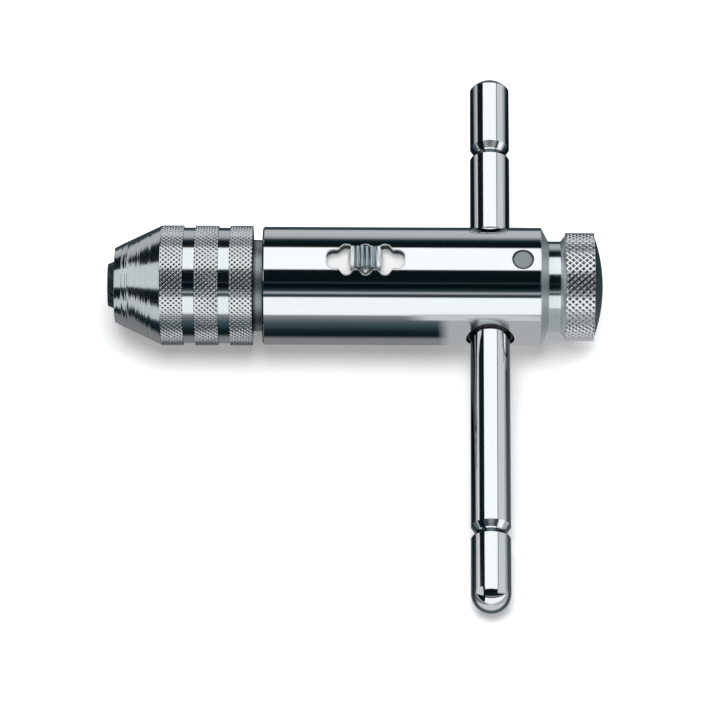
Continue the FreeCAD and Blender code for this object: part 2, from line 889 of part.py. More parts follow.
def jaws():
    """The two jaws, facing each other across the split."""
    finish(jaw_solid("jaw_a", "1"), "jaw_a", "jaw_angle")
    finish(jaw_solid("jaw_b", "(-1)"), "jaw_b", "jaw_angle")


def jaw_springs():
    """The two small springs that push the jaws apart."""
    length = "2 * (jaw_rest_opening + jaw_spring_depth - 2 * jaw_spring_wire)"
    for label, side in (("jaw_spring_a", "-"), ("jaw_spring_b", "+")):
        spring = coil(
            label + "_coil",
            "jaw_spring_radius",
            "jaw_spring_wire",
            "jaw_spring_pitch",
            length,
            "jaw_spring_place",
            f"0 {side} jaw_spring_side",
            f"-({length}) / 2",
        )
        holder = doc.addObject("Part::Compound", label + "_shape")
        holder.Links = [spring]
        finish(holder, label, "jaw_angle")


def switch_plate():
    """The curved plate that closes the window from inside and carries the button."""
    length = "bush_rear - tube_front"
    outer = rod("plate_outer", "YZ_Plane", "0", "0", "plate_outer_radius", "tube_front", length)
    start = "tube_front - cut_margin"
    through = f"{length} + 2 * cut_margin"
    inner = rod("plate_inner", "YZ_Plane", "0", "0", "plate_inner_radius", start, through)
    block = box(
        "plate_block",
        "window_middle - plate_length / 2",
        "-plate_width / 2",
        "0",
        "plate_length",
        "plate_width",
        "tube_radius",
    )
    hole_radius = "plunger_radius + plunger_gap"
    hole = rod("plate_hole", "XY_Plane", "window_middle", "0", hole_radius, "0", "tube_radius")
    stem = box(
        "plate_stem_seat",
        "window_middle - button_stem_length / 2",
        "-button_stem_width / 2",
        "plate_outer_radius - detent_seat_depth",
        "button_stem_length",
        "button_stem_width",
        "detent_seat_depth + cut_margin",
    )
    sector = common("plate_sector", cut("plate_tube", outer, inner), block)
    finish(cut("plate_shape", sector, hole, stem), "switch_plate")


def rib_points():
    """The side view of the button's head, from end to end across its ribs."""
    half = "(button_length / 2)"
    points = [
        (f"window_middle - {half}", "button_head_base"),
        (f"window_middle - {half} + button_end_slope", "button_head_top"),
    ]
    ribs = int(number("rib_count"))
    pitch = "(rib_span / rib_count)"
    for rib in range(ribs):
        start = f"window_middle - rib_span / 2 + {pitch} * {rib}"
        points.append((start, "button_head_top"))
        points.append((f"{start} + {pitch} * rib_groove_share / 2", "button_head_top - rib_depth"))
        points.append((f"{start} + {pitch} * rib_groove_share", "button_head_top"))
    points.append((f"window_middle + {half} - button_end_slope", "button_head_top"))
    points.append((f"window_middle + {half}", "button_head_base"))
    return points


def switch_button():
    """The thumb button: a ribbed head over a stem that passes through the window."""
    head_side = prism("button_side", "XZ_Plane", rib_points(), "button_width")
    half = "(button_length / 2)"
    end = f"({half} - button_end_bulge)"
    squares = "button_width * button_width / 4 + button_end_bulge * button_end_bulge"
    bulge = f"(({squares}) / (2 * button_end_bulge))"
    plan = prism(
        "button_plan",
        "XY_Plane",
        [
            (f"window_middle - {end}", "-button_width / 2"),
            (f"window_middle + {end}", "-button_width / 2"),
            (f"window_middle + {end}", "button_width / 2"),
            (f"window_middle - {end}", "button_width / 2"),
        ],
        "button_head_top - tube_radius + 2 * cut_margin",
        offset="tube_radius - cut_margin",
        arcs={1: (bulge, -1), 3: (bulge, -1)},
        both_ways=False,
    )
    stem = box(
        "button_stem",
        "window_middle - button_stem_length / 2",
        "-button_stem_width / 2",
        "plate_outer_radius - button_foot_sink",
        "button_stem_length",
        "button_stem_width",
        "button_head_base - plate_outer_radius + button_foot_sink",
    )
    solid = fuse("button_solid", common("button_head", head_side, plan), stem)
    bore_radius = "plunger_head_radius + plunger_gap"
    bore = rod("button_bore", "XY_Plane", "window_middle", "0", bore_radius, "0", "plunger_bore_top")
    slot = box(
        "detent_slot",
        "window_middle - detent_arm_length / 2 - detent_slot_gap",
        "-button_width",
        "detent_base - detent_slot_gap",
        "detent_arm_length + 2 * detent_slot_gap",
        "2 * button_width",
        "detent_top - detent_base + 2 * detent_slot_gap",
    )
    radius = "plunger_head_radius + detent_eye_wall"
    start = "detent_base - cut_margin"
    length = "detent_thickness + 2 * cut_margin"
    core = rod("detent_core", "XY_Plane", "window_middle", "0", radius, start, length)
    finish(cut("button_shape", solid, cut("detent_slot_ring", slot, core), bore), "switch_button")


def detent_spring():
    """The flat spring round the button's core, with a V nose on each side for the window's lobes."""
    half = "(button_stem_width / 2)"
    arm = "(detent_arm_length / 2)"
    nose = "(detent_nose_width / 2)"
    leaf = prism(
        "detent_leaf",
        "XY_Plane",
        [
            (f"window_middle - {arm}", f"-{half}"),
            (f"window_middle - {nose}", f"-{half}"),
            ("window_middle", "-detent_nose_reach"),
            (f"window_middle + {nose}", f"-{half}"),
            (f"window_middle + {arm}", f"-{half}"),
            (f"window_middle + {arm}", half),
            (f"window_middle + {nose}", half),
            ("window_middle", "detent_nose_reach"),
            (f"window_middle - {nose}", half),
            (f"window_middle - {arm}", half),
        ],
        "detent_top - detent_base",
        offset="detent_base",
        both_ways=False,
    )
    radius = "plunger_head_radius + detent_eye_wall + detent_slot_gap"
    start = "detent_base - cut_margin"
    length = "detent_thickness + 2 * cut_margin"
    core = rod("detent_hole", "XY_Plane", "window_middle", "0", radius, start, length)
    finish(cut("detent_shape", leaf, core), "detent_spring")


def plunger():
    """The sprung plunger that presses on the pawl's back."""
    body = new_body("plunger_body")
    shank = "plunger_radius"
    tip = "pawl_top + plunger_tip_gap"
    sketch = outline(
        new_sketch(body, "XZ_Plane"),
        [
            ("0", tip),
            (f"{shank} * 0.5", tip),
            (shank, f"{tip} + {shank} * 0.5"),
            (shank, "plunger_top"),
            ("plunger_head_radius", "plunger_top"),
            ("plunger_head_radius", "plunger_top + plunger_head_height"),
            ("0", "plunger_top + plunger_head_height"),
        ],
    )
    revolve(body, sketch, "V_Axis")
    moved = doc.addObject("Part::Compound", "plunger_place")
    moved.Links = [body]
    put(body, "window_middle", "0", "0")
    finish(moved, "plunger")


def plunger_spring():
    """The spring above the plunger, inside the button."""
    base = "plunger_top + plunger_head_height + spring_end_gap + plunger_spring_wire"
    length = f"plunger_bore_top - ({base}) - spring_end_gap - plunger_spring_wire"
    spring = coil(
        "plunger_coil",
        "plunger_radius",
        "plunger_spring_wire",
        "plunger_spring_pitch",
        length,
        "window_middle",
        "0",
        base,
    )
    holder = doc.addObject("Part::Compound", "plunger_spring_shape")
    holder.Links = [spring]
    finish(holder, "plunger_spring")


def nose_cutter(name, hand, side):
    """The ratchet teeth as the pawl meets them, with a running gap, at the pawl's full rock to one side."""
    pitch = "(360 / tooth_count)"
    root = "(tooth_root_radius + pawl_gap)"
    tip = "(journal_radius + pawl_gap)"
    points = [(f"{hand} * -nose_cutter_half", "nose_cutter_foot")]
    for step in (2, 1, 0, -1):
        face = f"(({step} * {pitch} - pawl_face_angle) * 1 deg)"
        slope = f"(({step - 1} * {pitch} + tooth_land_angle) * 1 deg)"
        points.append((f"{hand} * -{tip} * sin({face})", f"{tip} * cos({face})"))
        points.append((f"{hand} * -{root} * sin({face})", f"{root} * cos({face})"))
        points.append((f"{hand} * -{tip} * sin({slope})", f"{tip} * cos({slope})"))
    points.append((f"{hand} * nose_cutter_half", "nose_cutter_foot"))
    length = "tooth_row_length + pawl_inset"
    start = f"window_middle + {HALF_WAIST} - pawl_inset"
    if side < 0:
        start = f"window_middle - {HALF_WAIST} - tooth_row_length"
    teeth = prism(name + "_teeth", "YZ_Plane", points, length, offset=start, both_ways=False)
    holder = doc.addObject("Part::Compound", name)
    holder.Links = [teeth]
    holder.Placement.Rotation = Rotation(Vector(0, -side, 0), 1)
    rock = "(pawl_rock * 1 deg)"
    holder.setExpression("Placement.Rotation.Angle", bound(rock))
    x = "window_middle"
    z = "pawl_pin_height"
    turned_x = f"({x} * cos{rock} - {side} * {z} * sin{rock})"
    turned_z = f"({z} * cos{rock} + {side} * {x} * sin{rock})"
    put(holder, f"{x} - {turned_x}", "0", f"{z} - {turned_z}")
    return holder


def pawl():
    """The rocking pawl, with toothed noses for the two rows."""
    half = "(pawl_length / 2)"
    block = prism(
        "pawl_block",
        "XZ_Plane",
        [
            (f"window_middle - {half}", "pawl_top"),
            (f"window_middle + {half}", "pawl_top"),
            (f"window_middle + {half}", "pawl_foot"),
            (f"window_middle - {half}", "pawl_foot"),
        ],
        "pawl_width",
    )
    hole_radius = "pawl_pin_radius + running_gap"
    hole = rod(
        "pawl_hole",
        "XZ_Plane",
        "window_middle",
        "pawl_pin_height",
        hole_radius,
        "0",
        "pawl_width + cut_margin",
        True,
    )
    noses = (nose_cutter("front_nose", "1", -1), nose_cutter("rear_nose", "-1", 1))
    finish(cut("pawl_shape", block, hole, *noses), "pawl")


def check_and_write():
    """Stop on a failed object or a bad solid, then write each piece to its own file."""
    doc.recompute()
    failed = [thing.Name for thing in doc.Objects if {"Invalid", "Error"} & set(thing.State)]
    if failed:
        raise RuntimeError(f"failed objects: {failed}")
    for piece in finished:
        if piece.Shape.isNull() or not piece.Shape.isValid():
            raise RuntimeError(f"{piece.Label} has no valid shape")
    os.makedirs("parts", exist_ok=True)
    for piece in finished:
        shape = piece.Shape
        print(f"{piece.Label}: {len(shape.Solids)} solid, {shape.Volume:.1f} mm3")
        shape.exportStep(f"parts/{piece.Label}.step")


housing()
rear_knob()
knob_pin()
bar_rings()
handle_bar()
ratchet_bush()
pawl_pin()
spindle()
thrust_washer()
circlip()
chuck_nut()
nut_ring()
jaws()
jaw_springs()
switch_plate()
switch_button()
detent_spring()
plunger()
plunger_spring()
pawl()
check_and_write()
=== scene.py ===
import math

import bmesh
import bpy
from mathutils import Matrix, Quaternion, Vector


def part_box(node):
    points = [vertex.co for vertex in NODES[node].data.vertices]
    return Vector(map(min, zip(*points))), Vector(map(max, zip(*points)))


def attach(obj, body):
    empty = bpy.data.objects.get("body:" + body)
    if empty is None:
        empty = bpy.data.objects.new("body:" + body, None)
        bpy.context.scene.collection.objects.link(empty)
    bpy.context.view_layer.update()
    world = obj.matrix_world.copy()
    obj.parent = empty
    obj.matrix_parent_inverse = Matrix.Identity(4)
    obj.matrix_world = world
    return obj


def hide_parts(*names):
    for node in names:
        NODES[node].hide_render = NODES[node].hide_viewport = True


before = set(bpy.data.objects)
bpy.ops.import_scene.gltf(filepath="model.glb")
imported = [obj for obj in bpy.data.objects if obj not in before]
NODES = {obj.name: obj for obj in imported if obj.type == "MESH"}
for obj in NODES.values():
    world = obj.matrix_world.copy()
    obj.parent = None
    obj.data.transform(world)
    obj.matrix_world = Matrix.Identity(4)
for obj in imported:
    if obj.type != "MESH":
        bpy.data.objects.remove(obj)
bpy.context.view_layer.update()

# %% [markdown]
# The object is a ratchet tap wrench: a chuck with a knurled nut at the left, a chromed tube with a thumb
# switch, a sliding T-bar and a knurled knob. The solids of its 23 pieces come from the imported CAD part.
# This script gives them their finishes and builds the pieces whose look needs more than plain CAD faces:
# turned surfaces with many sides, the knurls, the screw thread and the thin bright rims round the openings.
# Lengths are written in millimetres and multiplied by MM, because Blender works in metres.

MM = 0.001
SIDES = 192
TURNED_SHARP = 28.0

nut_low, nut_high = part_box("chuck_nut")
bar_low, bar_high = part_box("handle_bar")
tube_low, tube_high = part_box("housing")

NUT_RADIUS = (nut_high.z - nut_low.z) / 2
TUBE_RADIUS = (tube_high.y - tube_low.y) / 2
BAR_X = (bar_low.x + bar_high.x) / 2
BAR_RADIUS = (bar_high.x - bar_low.x) / 2
TABLE_HEIGHT = min(nut_low.z, bar_low.z)
BAR_NEAR_REACH = 60.45 * MM
WINDOW_MIDDLE = 43.65
PIN_X = 70.10
PIN_RADIUS = 1.65
ROLL = math.asin((NUT_RADIUS - BAR_RADIUS) / (BAR_NEAR_REACH - BAR_RADIUS))
print("roll", math.degrees(ROLL), "tube radius", TUBE_RADIUS, "bar at", BAR_X, "table", TABLE_HEIGHT)

# %% [markdown]
# Both shader nodes and Geometry Nodes do arithmetic with nodes, and long chains of them are hard to read
# as node calls. The class below wraps one socket, so that plain Python sums add the Math nodes. Each operator
# has its reflected form too, so that a plain number may stand first, as in 1 - mask. Any other node comes
# from the `node` method: settings first, then the values or links of the sockets.


# %% A socket that does arithmetic
class Value:
    """One node socket that Python can add, subtract, multiply and divide."""

    def __init__(self, tree, socket):
        self.tree = tree
        self.socket = socket

    def node(self, kind, settings=None, sockets=None, result=0):
        made = self.tree.nodes.new(kind)
        for name, setting in (settings or {}).items():
            if name == "stops":
                fill_ramp(made.color_ramp, setting)
            else:
                setattr(made, name, setting)
        for name, given in (sockets or {}).items():
            if isinstance(given, Value):
                self.tree.links.new(given.socket, made.inputs[name])
            else:
                made.inputs[name].default_value = given
        return Value(self.tree, made.outputs[result])

    def math(self, operation, first, second=0.0, third=0.0):
        kind = "ShaderNodeMath"
        return self.node(kind, {"operation": operation}, {0: first, 1: second, 2: third})

    def __add__(self, other):
        return self.math("ADD", self, other)

    __radd__ = __add__

    def __sub__(self, other):
        return self.math("SUBTRACT", self, other)

    def __rsub__(self, other):
        return self.math("SUBTRACT", other, self)

    def __mul__(self, other):
        return self.math("MULTIPLY", self, other)

    __rmul__ = __mul__

    def __truediv__(self, other):
        return self.math("DIVIDE", self, other)

    def __rtruediv__(self, other):
        return self.math("DIVIDE", other, self)

    def __gt__(self, other):
        return self.math("GREATER_THAN", self, other)

    def __lt__(self, other):
        return self.math("LESS_THAN", self, other)

    def smallest(self, other):
        return self.math("MINIMUM", self, other)

    def largest(self, other):
        return self.math("MAXIMUM", self, other)

    def sine(self):
        return self.math("SINE", self)

    def cosine(self):
        return self.math("COSINE", self)

    def size(self):
        return self.math("ABSOLUTE", self)

    def fraction(self):
        return self.math("FRACT", self)

    def between(self, low, high):
        """0 below low, 1 above high and a straight ramp between them."""
        return ((self - low) / (high - low)).largest(0.0).smallest(1.0)


def fill_ramp(ramp, stops):
    ramp.interpolation = "LINEAR"
    while len(ramp.elements) > 1:
        ramp.elements.remove(ramp.elements[-1])
    ramp.elements[0].position, ramp.elements[0].color = stops[0]
    for place, color in stops[1:]:
        ramp.elements.new(place).color = color


print("socket class ready")

# %% [markdown]
# Most of this wrench is turned on a lathe. In Blender a turned piece can be a Screw modifier on an
# outline, or rings of vertices joined by faces. The rings are made directly here, because the outline then
# stays a short list of lengths along the axis and radii, and a radius of zero closes the end in one point.


# %% Turning a piece
def add_object(name, data):
    made = bpy.data.objects.new(name, data)
    bpy.context.scene.collection.objects.link(made)
    return made


def lathe(name, outline, closed=False, sides=SIDES, sharp=TURNED_SHARP):
    """Turn an outline of (place along X, radius) in millimetres, written so that faces point outwards."""
    model = bmesh.new()
    rings = []
    for place, radius in outline:
        if radius == 0:
            rings.append([model.verts.new((place * MM, 0, 0))] * sides)
            continue
        rings.append(ring_of(model, place, [radius] * sides))
    bridge(model, rings, closed)
    return mesh_object(name, model, sharp)


def ring_of(model, place, radii):
    """Vertices round the X axis at one place, one for each radius."""
    ring = []
    for number, radius in enumerate(radii):
        angle = 2 * math.pi * number / len(radii)
        spot = (place * MM, radius * MM * math.cos(angle), radius * MM * math.sin(angle))
        ring.append(model.verts.new(spot))
    return ring


def bridge(model, rings, closed=False):
    """Faces from each ring of vertices to the next, and from the last to the first if the rings close."""
    following = rings[1:] + rings[:1] if closed else rings[1:]
    for first, second in zip(rings, following):
        for side in range(len(first)):
            after = (side + 1) % len(first)
            corners = dict.fromkeys([first[side], first[after], second[after], second[side]])
            if len(corners) > 2:
                model.faces.new(list(corners))
    bmesh.ops.recalc_face_normals(model, faces=model.faces)


def mesh_object(name, model, sharp):
    mesh = bpy.data.meshes.new(name)
    model.to_mesh(mesh)
    model.free()
    made = add_object(name, mesh)
    smooth(made, sharp)
    return made


def smooth(thing, sharp):
    """Shade round faces smoothly and keep edges sharper than the angle."""
    thing.data.shade_smooth()
    thing.data.set_sharp_from_angle(angle=math.radians(sharp))


def moved(thing, matrix):
    thing.data.transform(matrix)
    return thing


AXIS_TO_BAR = Matrix.Rotation(math.pi / 2, 4, "Z")
LYING = Matrix.Rotation(ROLL, 4, "X")
TO_BAR = Matrix.Translation((BAR_X, 0, 0)) @ LYING @ AXIS_TO_BAR
print("lathe ready,", SIDES, "sides")

# %% [markdown]
# Some pieces keep the shape of their CAD solid. Its mesh is loose triangles, so a merged copy is shaded
# smoothly and stands for the node. Polished chrome shows the smallest error in a normal, and long thin
# triangles carry such errors. On a plain cylinder the true normal is known, it points straight away from
# the axis, so it is written into the copy's corners.


# %% Smooth copies of CAD solids
SOLID_SHARP = 30.0
MERGE_WITHIN = 0.002 * MM


def merged(node):
    """The mesh of a CAD solid with its loose triangles joined."""
    model = bmesh.new()
    model.from_mesh(NODES[node].data)
    bmesh.ops.remove_doubles(model, verts=model.verts, dist=MERGE_WITHIN)
    return model


def smooth_copy(node, radii=()):
    made = mesh_object(node + "_finish", merged(node), SOLID_SHARP)
    if radii:
        true_normals(made.data, radii)
    return made


def true_normals(mesh, radii):
    """Give every corner on a cylinder about X the normal that a perfect cylinder has there."""
    normals = [Vector((0, 0, 0))] * len(mesh.loops)
    for face in mesh.polygons:
        away = Vector((0, face.center.y, face.center.z)).normalized()
        facing = face.normal.dot(away)
        if abs(facing) < 0.98:
            continue
        corners = [mesh.vertices[mesh.loops[loop].vertex_index].co for loop in face.loop_indices]
        reach = [math.hypot(corner.y, corner.z) for corner in corners]
        if not any(max(abs(r - radius) for r in reach) < 0.02 * MM for radius in radii):
            continue
        for loop, corner in zip(face.loop_indices, corners):
            normals[loop] = Vector((0, corner.y, corner.z)).normalized() * math.copysign(1, facing)
    mesh.normals_split_custom_set(normals)


print("smooth copies ready")

# %% [markdown]
# The finishes come next. Real chrome isn't an even mirror: faint brushed hairlines and a little unevenness
# in the polish break up its reflections. So each metal here has a roughness that varies, from noise that is
# stretched along the marks of the tool which made the surface, and a slight tint that varies with it.


# %% Material helpers
def new_material(name, metallic=0.0):
    made = bpy.data.materials.new(name)
    made.use_nodes = True
    shader = made.node_tree.nodes["Principled BSDF"]
    shader.inputs["Metallic"].default_value = metallic
    coordinates = made.node_tree.nodes.new("ShaderNodeTexCoord")
    return made, shader, Value(made.node_tree, coordinates.outputs["Object"])


def feed(value, shader, socket):
    value.tree.links.new(value.socket, shader.inputs[socket])


def noise(where, scale, detail=2.0, stretch=(1.0, 1.0, 1.0)):
    """Noise from 0 to 1 whose grain is stretched along an axis of small stretch."""
    mapped = where.node("ShaderNodeMapping", None, {"Vector": where, "Scale": stretch})
    sockets = {"Vector": mapped, "Scale": scale, "Detail": detail}
    return where.node("ShaderNodeTexNoise", None, sockets)


def mixed(share, first, second):
    """A colour between two colours."""
    settings = {"data_type": "RGBA"}
    return share.node("ShaderNodeMix", settings, {0: share, 6: first, 7: second}, result=2)


def bumped(height, distance):
    return height.node("ShaderNodeBump", None, {"Height": height, "Distance": distance})


def parts_of(where):
    """The three numbers of a coordinate."""
    split = where.tree.nodes.new("ShaderNodeSeparateXYZ")
    where.tree.links.new(where.socket, split.inputs[0])
    return [Value(where.tree, split.outputs[axis]) for axis in range(3)]


def far_from(first, second):
    """The length of the two sides of a right angle, such as the distance from the axis."""
    return first.math("SQRT", first * first + second * second)


def metal(name, dark, light, roughness, spread, scale, stretch):
    """A metal whose tint and roughness vary along its tool marks."""
    made, shader, where = new_material(name, metallic=1.0)
    marks = noise(where, scale, 3.0, stretch)
    patches = noise(where, 120.0)
    feed(mixed(marks * 0.6 + patches * 0.4, dark, light), shader, "Base Color")
    feed(marks * spread + patches * spread + (roughness - spread), shader, "Roughness")
    return made


print("material helpers ready")

# %% [markdown]
# Some pieces need more than one even metal. The tube is chromed outside, with painted shade on the walls of
# its openings and in the bore; a knurl's pits hold painted shade with oil and dust; the spindle carries the
# nut's painted shadow as far as the nut reaches; and the button has a painted highlight on its ends. These
# could be separate materials on separate faces, but such marks don't end at the edge of a face. So each
# finish finds its places from Object coordinates, and the marks stay on the piece when it moves.

# %% Chrome, steel and rubber
ALONG = (0.02, 1.0, 1.0)
ACROSS = (1.0, 0.03, 0.03)
CHROME_DULL = (0.88, 0.90, 0.91, 1)
CHROME_BRIGHT = (0.95, 0.96, 0.96, 1)
PLATING = 0.06 * MM
NUT_SHADOW_END = 24.7
NUT_SHADOW_FADE_END = 25.3
RIBS_END = 1.85
PAINTED_HIGHLIGHT_START = 2.05


def tube_metal(name):
    """Polished chrome outside, with painted shade on the walls of the openings and in the bore: a dark
    colour.
    """
    made, shader, where = new_material(name, metallic=1.0)
    _, across, up = parts_of(where)
    outside = far_from(across, up).between(TUBE_RADIUS - 2 * PLATING, TUBE_RADIUS - PLATING)
    marks = noise(where, 2600.0, 3.0, ALONG)
    chrome = mixed(marks, CHROME_DULL, CHROME_BRIGHT)
    # Painted shade: the walls of the openings and the bore get a dark colour in place of the chrome.
    feed(mixed(outside, (0.045, 0.075, 0.08, 1), chrome), shader, "Base Color")
    feed(0.40 - outside * 0.35 + marks * 0.02, shader, "Roughness")
    return made


def bar_metal():
    """Polished chrome with painted shade towards its outline, a painted reflection of a dark surround."""
    made, shader, where = new_material("bar_chrome", metallic=1.0)
    facing = where.node("ShaderNodeLayerWeight", None, {"Blend": 0.5}, result="Facing")
    marks = noise(where, 2400.0, 3.0, ACROSS)
    polished = mixed(marks, (0.86, 0.89, 0.90, 1), (0.94, 0.95, 0.95, 1))
    # Painted shade: the colour turns dark towards the outline, in place of a dark reflection there.
    feed(mixed(facing.between(0.38, 0.50), polished, (0.06, 0.10, 0.11, 1)), shader, "Base Color")
    feed(marks * 0.03 + 0.06, shader, "Roughness")
    return made


def knurl_metal(name, radius, depth):
    """Chrome whose pits are painted dark, as painted shade with oil and dust. How deep a point lies tells its
    distance to the axis.
    """
    made, shader, where = new_material(name, metallic=1.0)
    _, across, up = parts_of(where)
    height = (far_from(across, up) - (radius - depth)) / depth
    worn = noise(where, 1400.0, 3.0)
    ridge = (height + worn * 0.4 - 0.2).between(0.2, 0.8)
    # The dark pits are painted shade together with oil and dust; the ridges keep the chrome colour.
    feed(mixed(ridge, (0.05, 0.08, 0.085, 1), CHROME_BRIGHT), shader, "Base Color")
    feed(0.30 - ridge * 0.12, shader, "Roughness")
    return made


def spindle_metal():
    """Satin turned steel, with the nut's painted shadow as a dark colour up to where the nut rests."""
    made, shader, where = new_material("spindle_steel", metallic=1.0)
    along, _, _ = parts_of(where)
    past_nut_shadow = along.between(NUT_SHADOW_END * MM, NUT_SHADOW_FADE_END * MM)
    marks = noise(where, 1800.0, 3.0, ACROSS)
    bare = mixed(marks, (0.34, 0.38, 0.39, 1), (0.66, 0.70, 0.70, 1))
    # Painted shadow: the spindle is dark as far as the nut reaches, and the thread shares this finish.
    feed(mixed(past_nut_shadow, (0.06, 0.09, 0.10, 1), bare), shader, "Base Color")
    feed(marks * 0.12 + 0.38, shader, "Roughness")
    return made


def button_metal():
    """Grey-blue steel in the ribs, with a painted highlight on the rounded ends: a bright colour there, with
    more roughness and less metal.
    """
    made, shader, where = new_material("button_steel")
    along, _, _ = parts_of(where)
    from_middle = (along - WINDOW_MIDDLE * MM).size()
    at_end = from_middle.between(RIBS_END * MM, PAINTED_HIGHLIGHT_START * MM)
    marks = noise(where, 1800.0, 3.0, ALONG)
    ribs = mixed(marks, (0.30, 0.38, 0.40, 1), (0.50, 0.57, 0.58, 1))
    # Painted highlight: the rounded ends get a bright colour in place of the light they catch.
    feed(mixed(at_end, ribs, (0.90, 0.92, 0.91, 1)), shader, "Base Color")
    feed(marks * 0.10 + at_end * 0.14 + 0.26, shader, "Roughness")
    feed(1 - at_end * 0.55, shader, "Metallic")
    return made


def nickel():
    """Bright plating on the flat spring, pale even where little light reaches it."""
    made, shader, where = new_material("nickel", metallic=0.35)
    mottle = noise(where, 2500.0, 3.0)
    feed(mixed(mottle, (0.84, 0.85, 0.84, 1), (0.94, 0.94, 0.93, 1)), shader, "Base Color")
    feed(mottle * 0.10 + 0.34, shader, "Roughness")
    return made


def rubber():
    made, shader, where = new_material("black_rubber")
    mottle = noise(where, 900.0, 4.0)
    feed(mixed(mottle, (0.006, 0.007, 0.008, 1), (0.018, 0.019, 0.020, 1)), shader, "Base Color")
    feed(mottle * 0.12 + 0.20, shader, "Roughness")
    return made


body_chrome = metal("body_chrome", CHROME_DULL, CHROME_BRIGHT, 0.06, 0.02, 2600.0, ALONG)
tube_chrome = tube_metal("tube_chrome")
bar_chrome = bar_metal()
dark_steel = metal("dark_steel", (0.035, 0.055, 0.06, 1), (0.10, 0.14, 0.15, 1), 0.34, 0.06, 2500.0, ACROSS)
spindle_steel = spindle_metal()
spring_steel = metal("spring_steel", (0.75, 0.78, 0.78, 1), (0.92, 0.94, 0.94, 1), 0.18, 0.04, 2000.0, ACROSS)
bush_steel = metal("bush_steel", (0.30, 0.30, 0.28, 1), (0.46, 0.45, 0.42, 1), 0.38, 0.06, 2200.0, ACROSS)
pawl_steel = metal("pawl_steel", (0.22, 0.21, 0.20, 1), (0.38, 0.36, 0.33, 1), 0.36, 0.06, 2200.0, ALONG)
button_steel = button_metal()
bright_nickel = nickel()
black_rubber = rubber()
print(len(bpy.data.materials), "materials")

# %% [markdown]
# A knurl is pressed into the metal by two rollers, which leave crossing ridges with a small pit in each
# diamond between them. It could be a bump texture, but its outline against the background would then stay a
# smooth curve, and a knurl's doesn't. Geometry Nodes make it as true shape: a flat grid is bent round the
# band, and the height of each vertex comes from its distance to the nearest ridge of either set. The first
# and the last row of the grid drop straight down into the nut, so the ridges end in small teeth at the band's
# edges.

# %% Knurl by Geometry Nodes
KNURL_INPUTS = {
    "Start": ("NodeSocketFloat", 0.0),
    "Length": ("NodeSocketFloat", 0.004),
    "Radius": ("NodeSocketFloat", 0.010),
    "Depth": ("NodeSocketFloat", 0.0003),
    "End Wall": ("NodeSocketFloat", 0.0003),
    "Diamonds Around": ("NodeSocketInt", 64),
    "Diamonds Along": ("NodeSocketFloat", 4.0),
    "Crest": ("NodeSocketFloat", 0.72),
    "Columns": ("NodeSocketInt", 512),
    "Rows": ("NodeSocketInt", 40),
    "Finish": ("NodeSocketMaterial", None),
}


def knurl_tree():
    tree = bpy.data.node_groups.new("knurled_band", "GeometryNodeTree")
    for name, (kind, default) in KNURL_INPUTS.items():
        socket = tree.interface.new_socket(name=name, in_out="INPUT", socket_type=kind)
        if default is not None:
            socket.default_value = default
    tree.interface.new_socket(name="Geometry", in_out="OUTPUT", socket_type="NodeSocketGeometry")
    given = tree.nodes.new("NodeGroupInput")
    inputs = {name: Value(tree, given.outputs[name]) for name in KNURL_INPUTS}
    start = inputs["Start"]
    sockets = {
        "Size X": 1.0,
        "Size Y": 1.0,
        "Vertices X": inputs["Columns"] + 1,
        "Vertices Y": inputs["Rows"] + 1,
    }
    grid = start.node("GeometryNodeMeshGrid", None, sockets)
    across, along, _ = parts_of(start.node("GeometryNodeInputPosition"))
    across = across + 0.5
    along = along + 0.5
    row = 1 / inputs["Rows"]
    inner = ((along - row) / (1 - row * 2)).smallest(1.0).largest(0.0)
    turns = across * inputs["Diamonds Around"]
    steps = inner * inputs["Diamonds Along"]
    one_way = ((turns + steps).fraction() - 0.5).size() * 2
    other_way = ((turns - steps + 64).fraction() - 0.5).size() * 2
    height = (one_way.largest(other_way) / inputs["Crest"]).smallest(1.0)
    inside = (along.smallest(1 - along) / row).smallest(1.0)
    radius = inputs["Radius"] - (1 - height) * inputs["Depth"] * inside - (1 - inside) * inputs["End Wall"]
    angle = across * (2 * math.pi)
    sockets = {0: start + inner * inputs["Length"], 1: radius * angle.cosine(), 2: radius * angle.sine()}
    where = start.node("ShaderNodeCombineXYZ", None, sockets)
    bent = start.node("GeometryNodeSetPosition", None, {"Geometry": grid, "Position": where})
    closed = start.node("GeometryNodeMergeByDistance", None, {"Geometry": bent, "Distance": 1e-6})
    real = start.node("GeometryNodeRealizeInstances", None, {"Geometry": closed})
    dressed = start.node("GeometryNodeSetMaterial", None, {"Geometry": real, "Material": inputs["Finish"]})
    tree.links.new(dressed.socket, tree.nodes.new("NodeGroupOutput").inputs[0])
    return tree


def run_tree(name, tree, settings):
    """Run a tree on an empty mesh and keep the result as a plain mesh."""
    holder = add_object(name + "_holder", bpy.data.meshes.new(name + "_empty"))
    modifier = holder.modifiers.new("nodes", "NODES")
    modifier.node_group = tree
    for item in tree.interface.items_tree:
        if item.in_out == "INPUT" and item.name in settings:
            modifier[item.identifier] = settings[item.name]
    bpy.context.view_layer.update()
    evaluated = holder.evaluated_get(bpy.context.evaluated_depsgraph_get())
    mesh = bpy.data.meshes.new_from_object(evaluated)
    mesh.name = name
    bpy.data.objects.remove(holder)
    return add_object(name, mesh)


def join(name, things):
    """Join several meshes into one piece."""
    model = bmesh.new()
    for thing in things:
        model.from_mesh(thing.data)
    mesh = bpy.data.meshes.new(name)
    model.to_mesh(mesh)
    model.free()
    for material in things[0].data.materials:
        mesh.materials.append(material)
    for thing in things:
        bpy.data.objects.remove(thing)
    return add_object(name, mesh)


KNURL = knurl_tree()
STEPS_IN_DIAMOND = 8
print("knurl tree with", len(KNURL.nodes), "nodes")

# %% [markdown]
# The nut has three knurled bands. They could be one long band cut in three, but each has its own teeth at
# its edges. So each is a run of the tree, with as many whole diamonds round it as fit, and its pattern
# closes without a seam. Joined, they are one piece that turns with the nut.


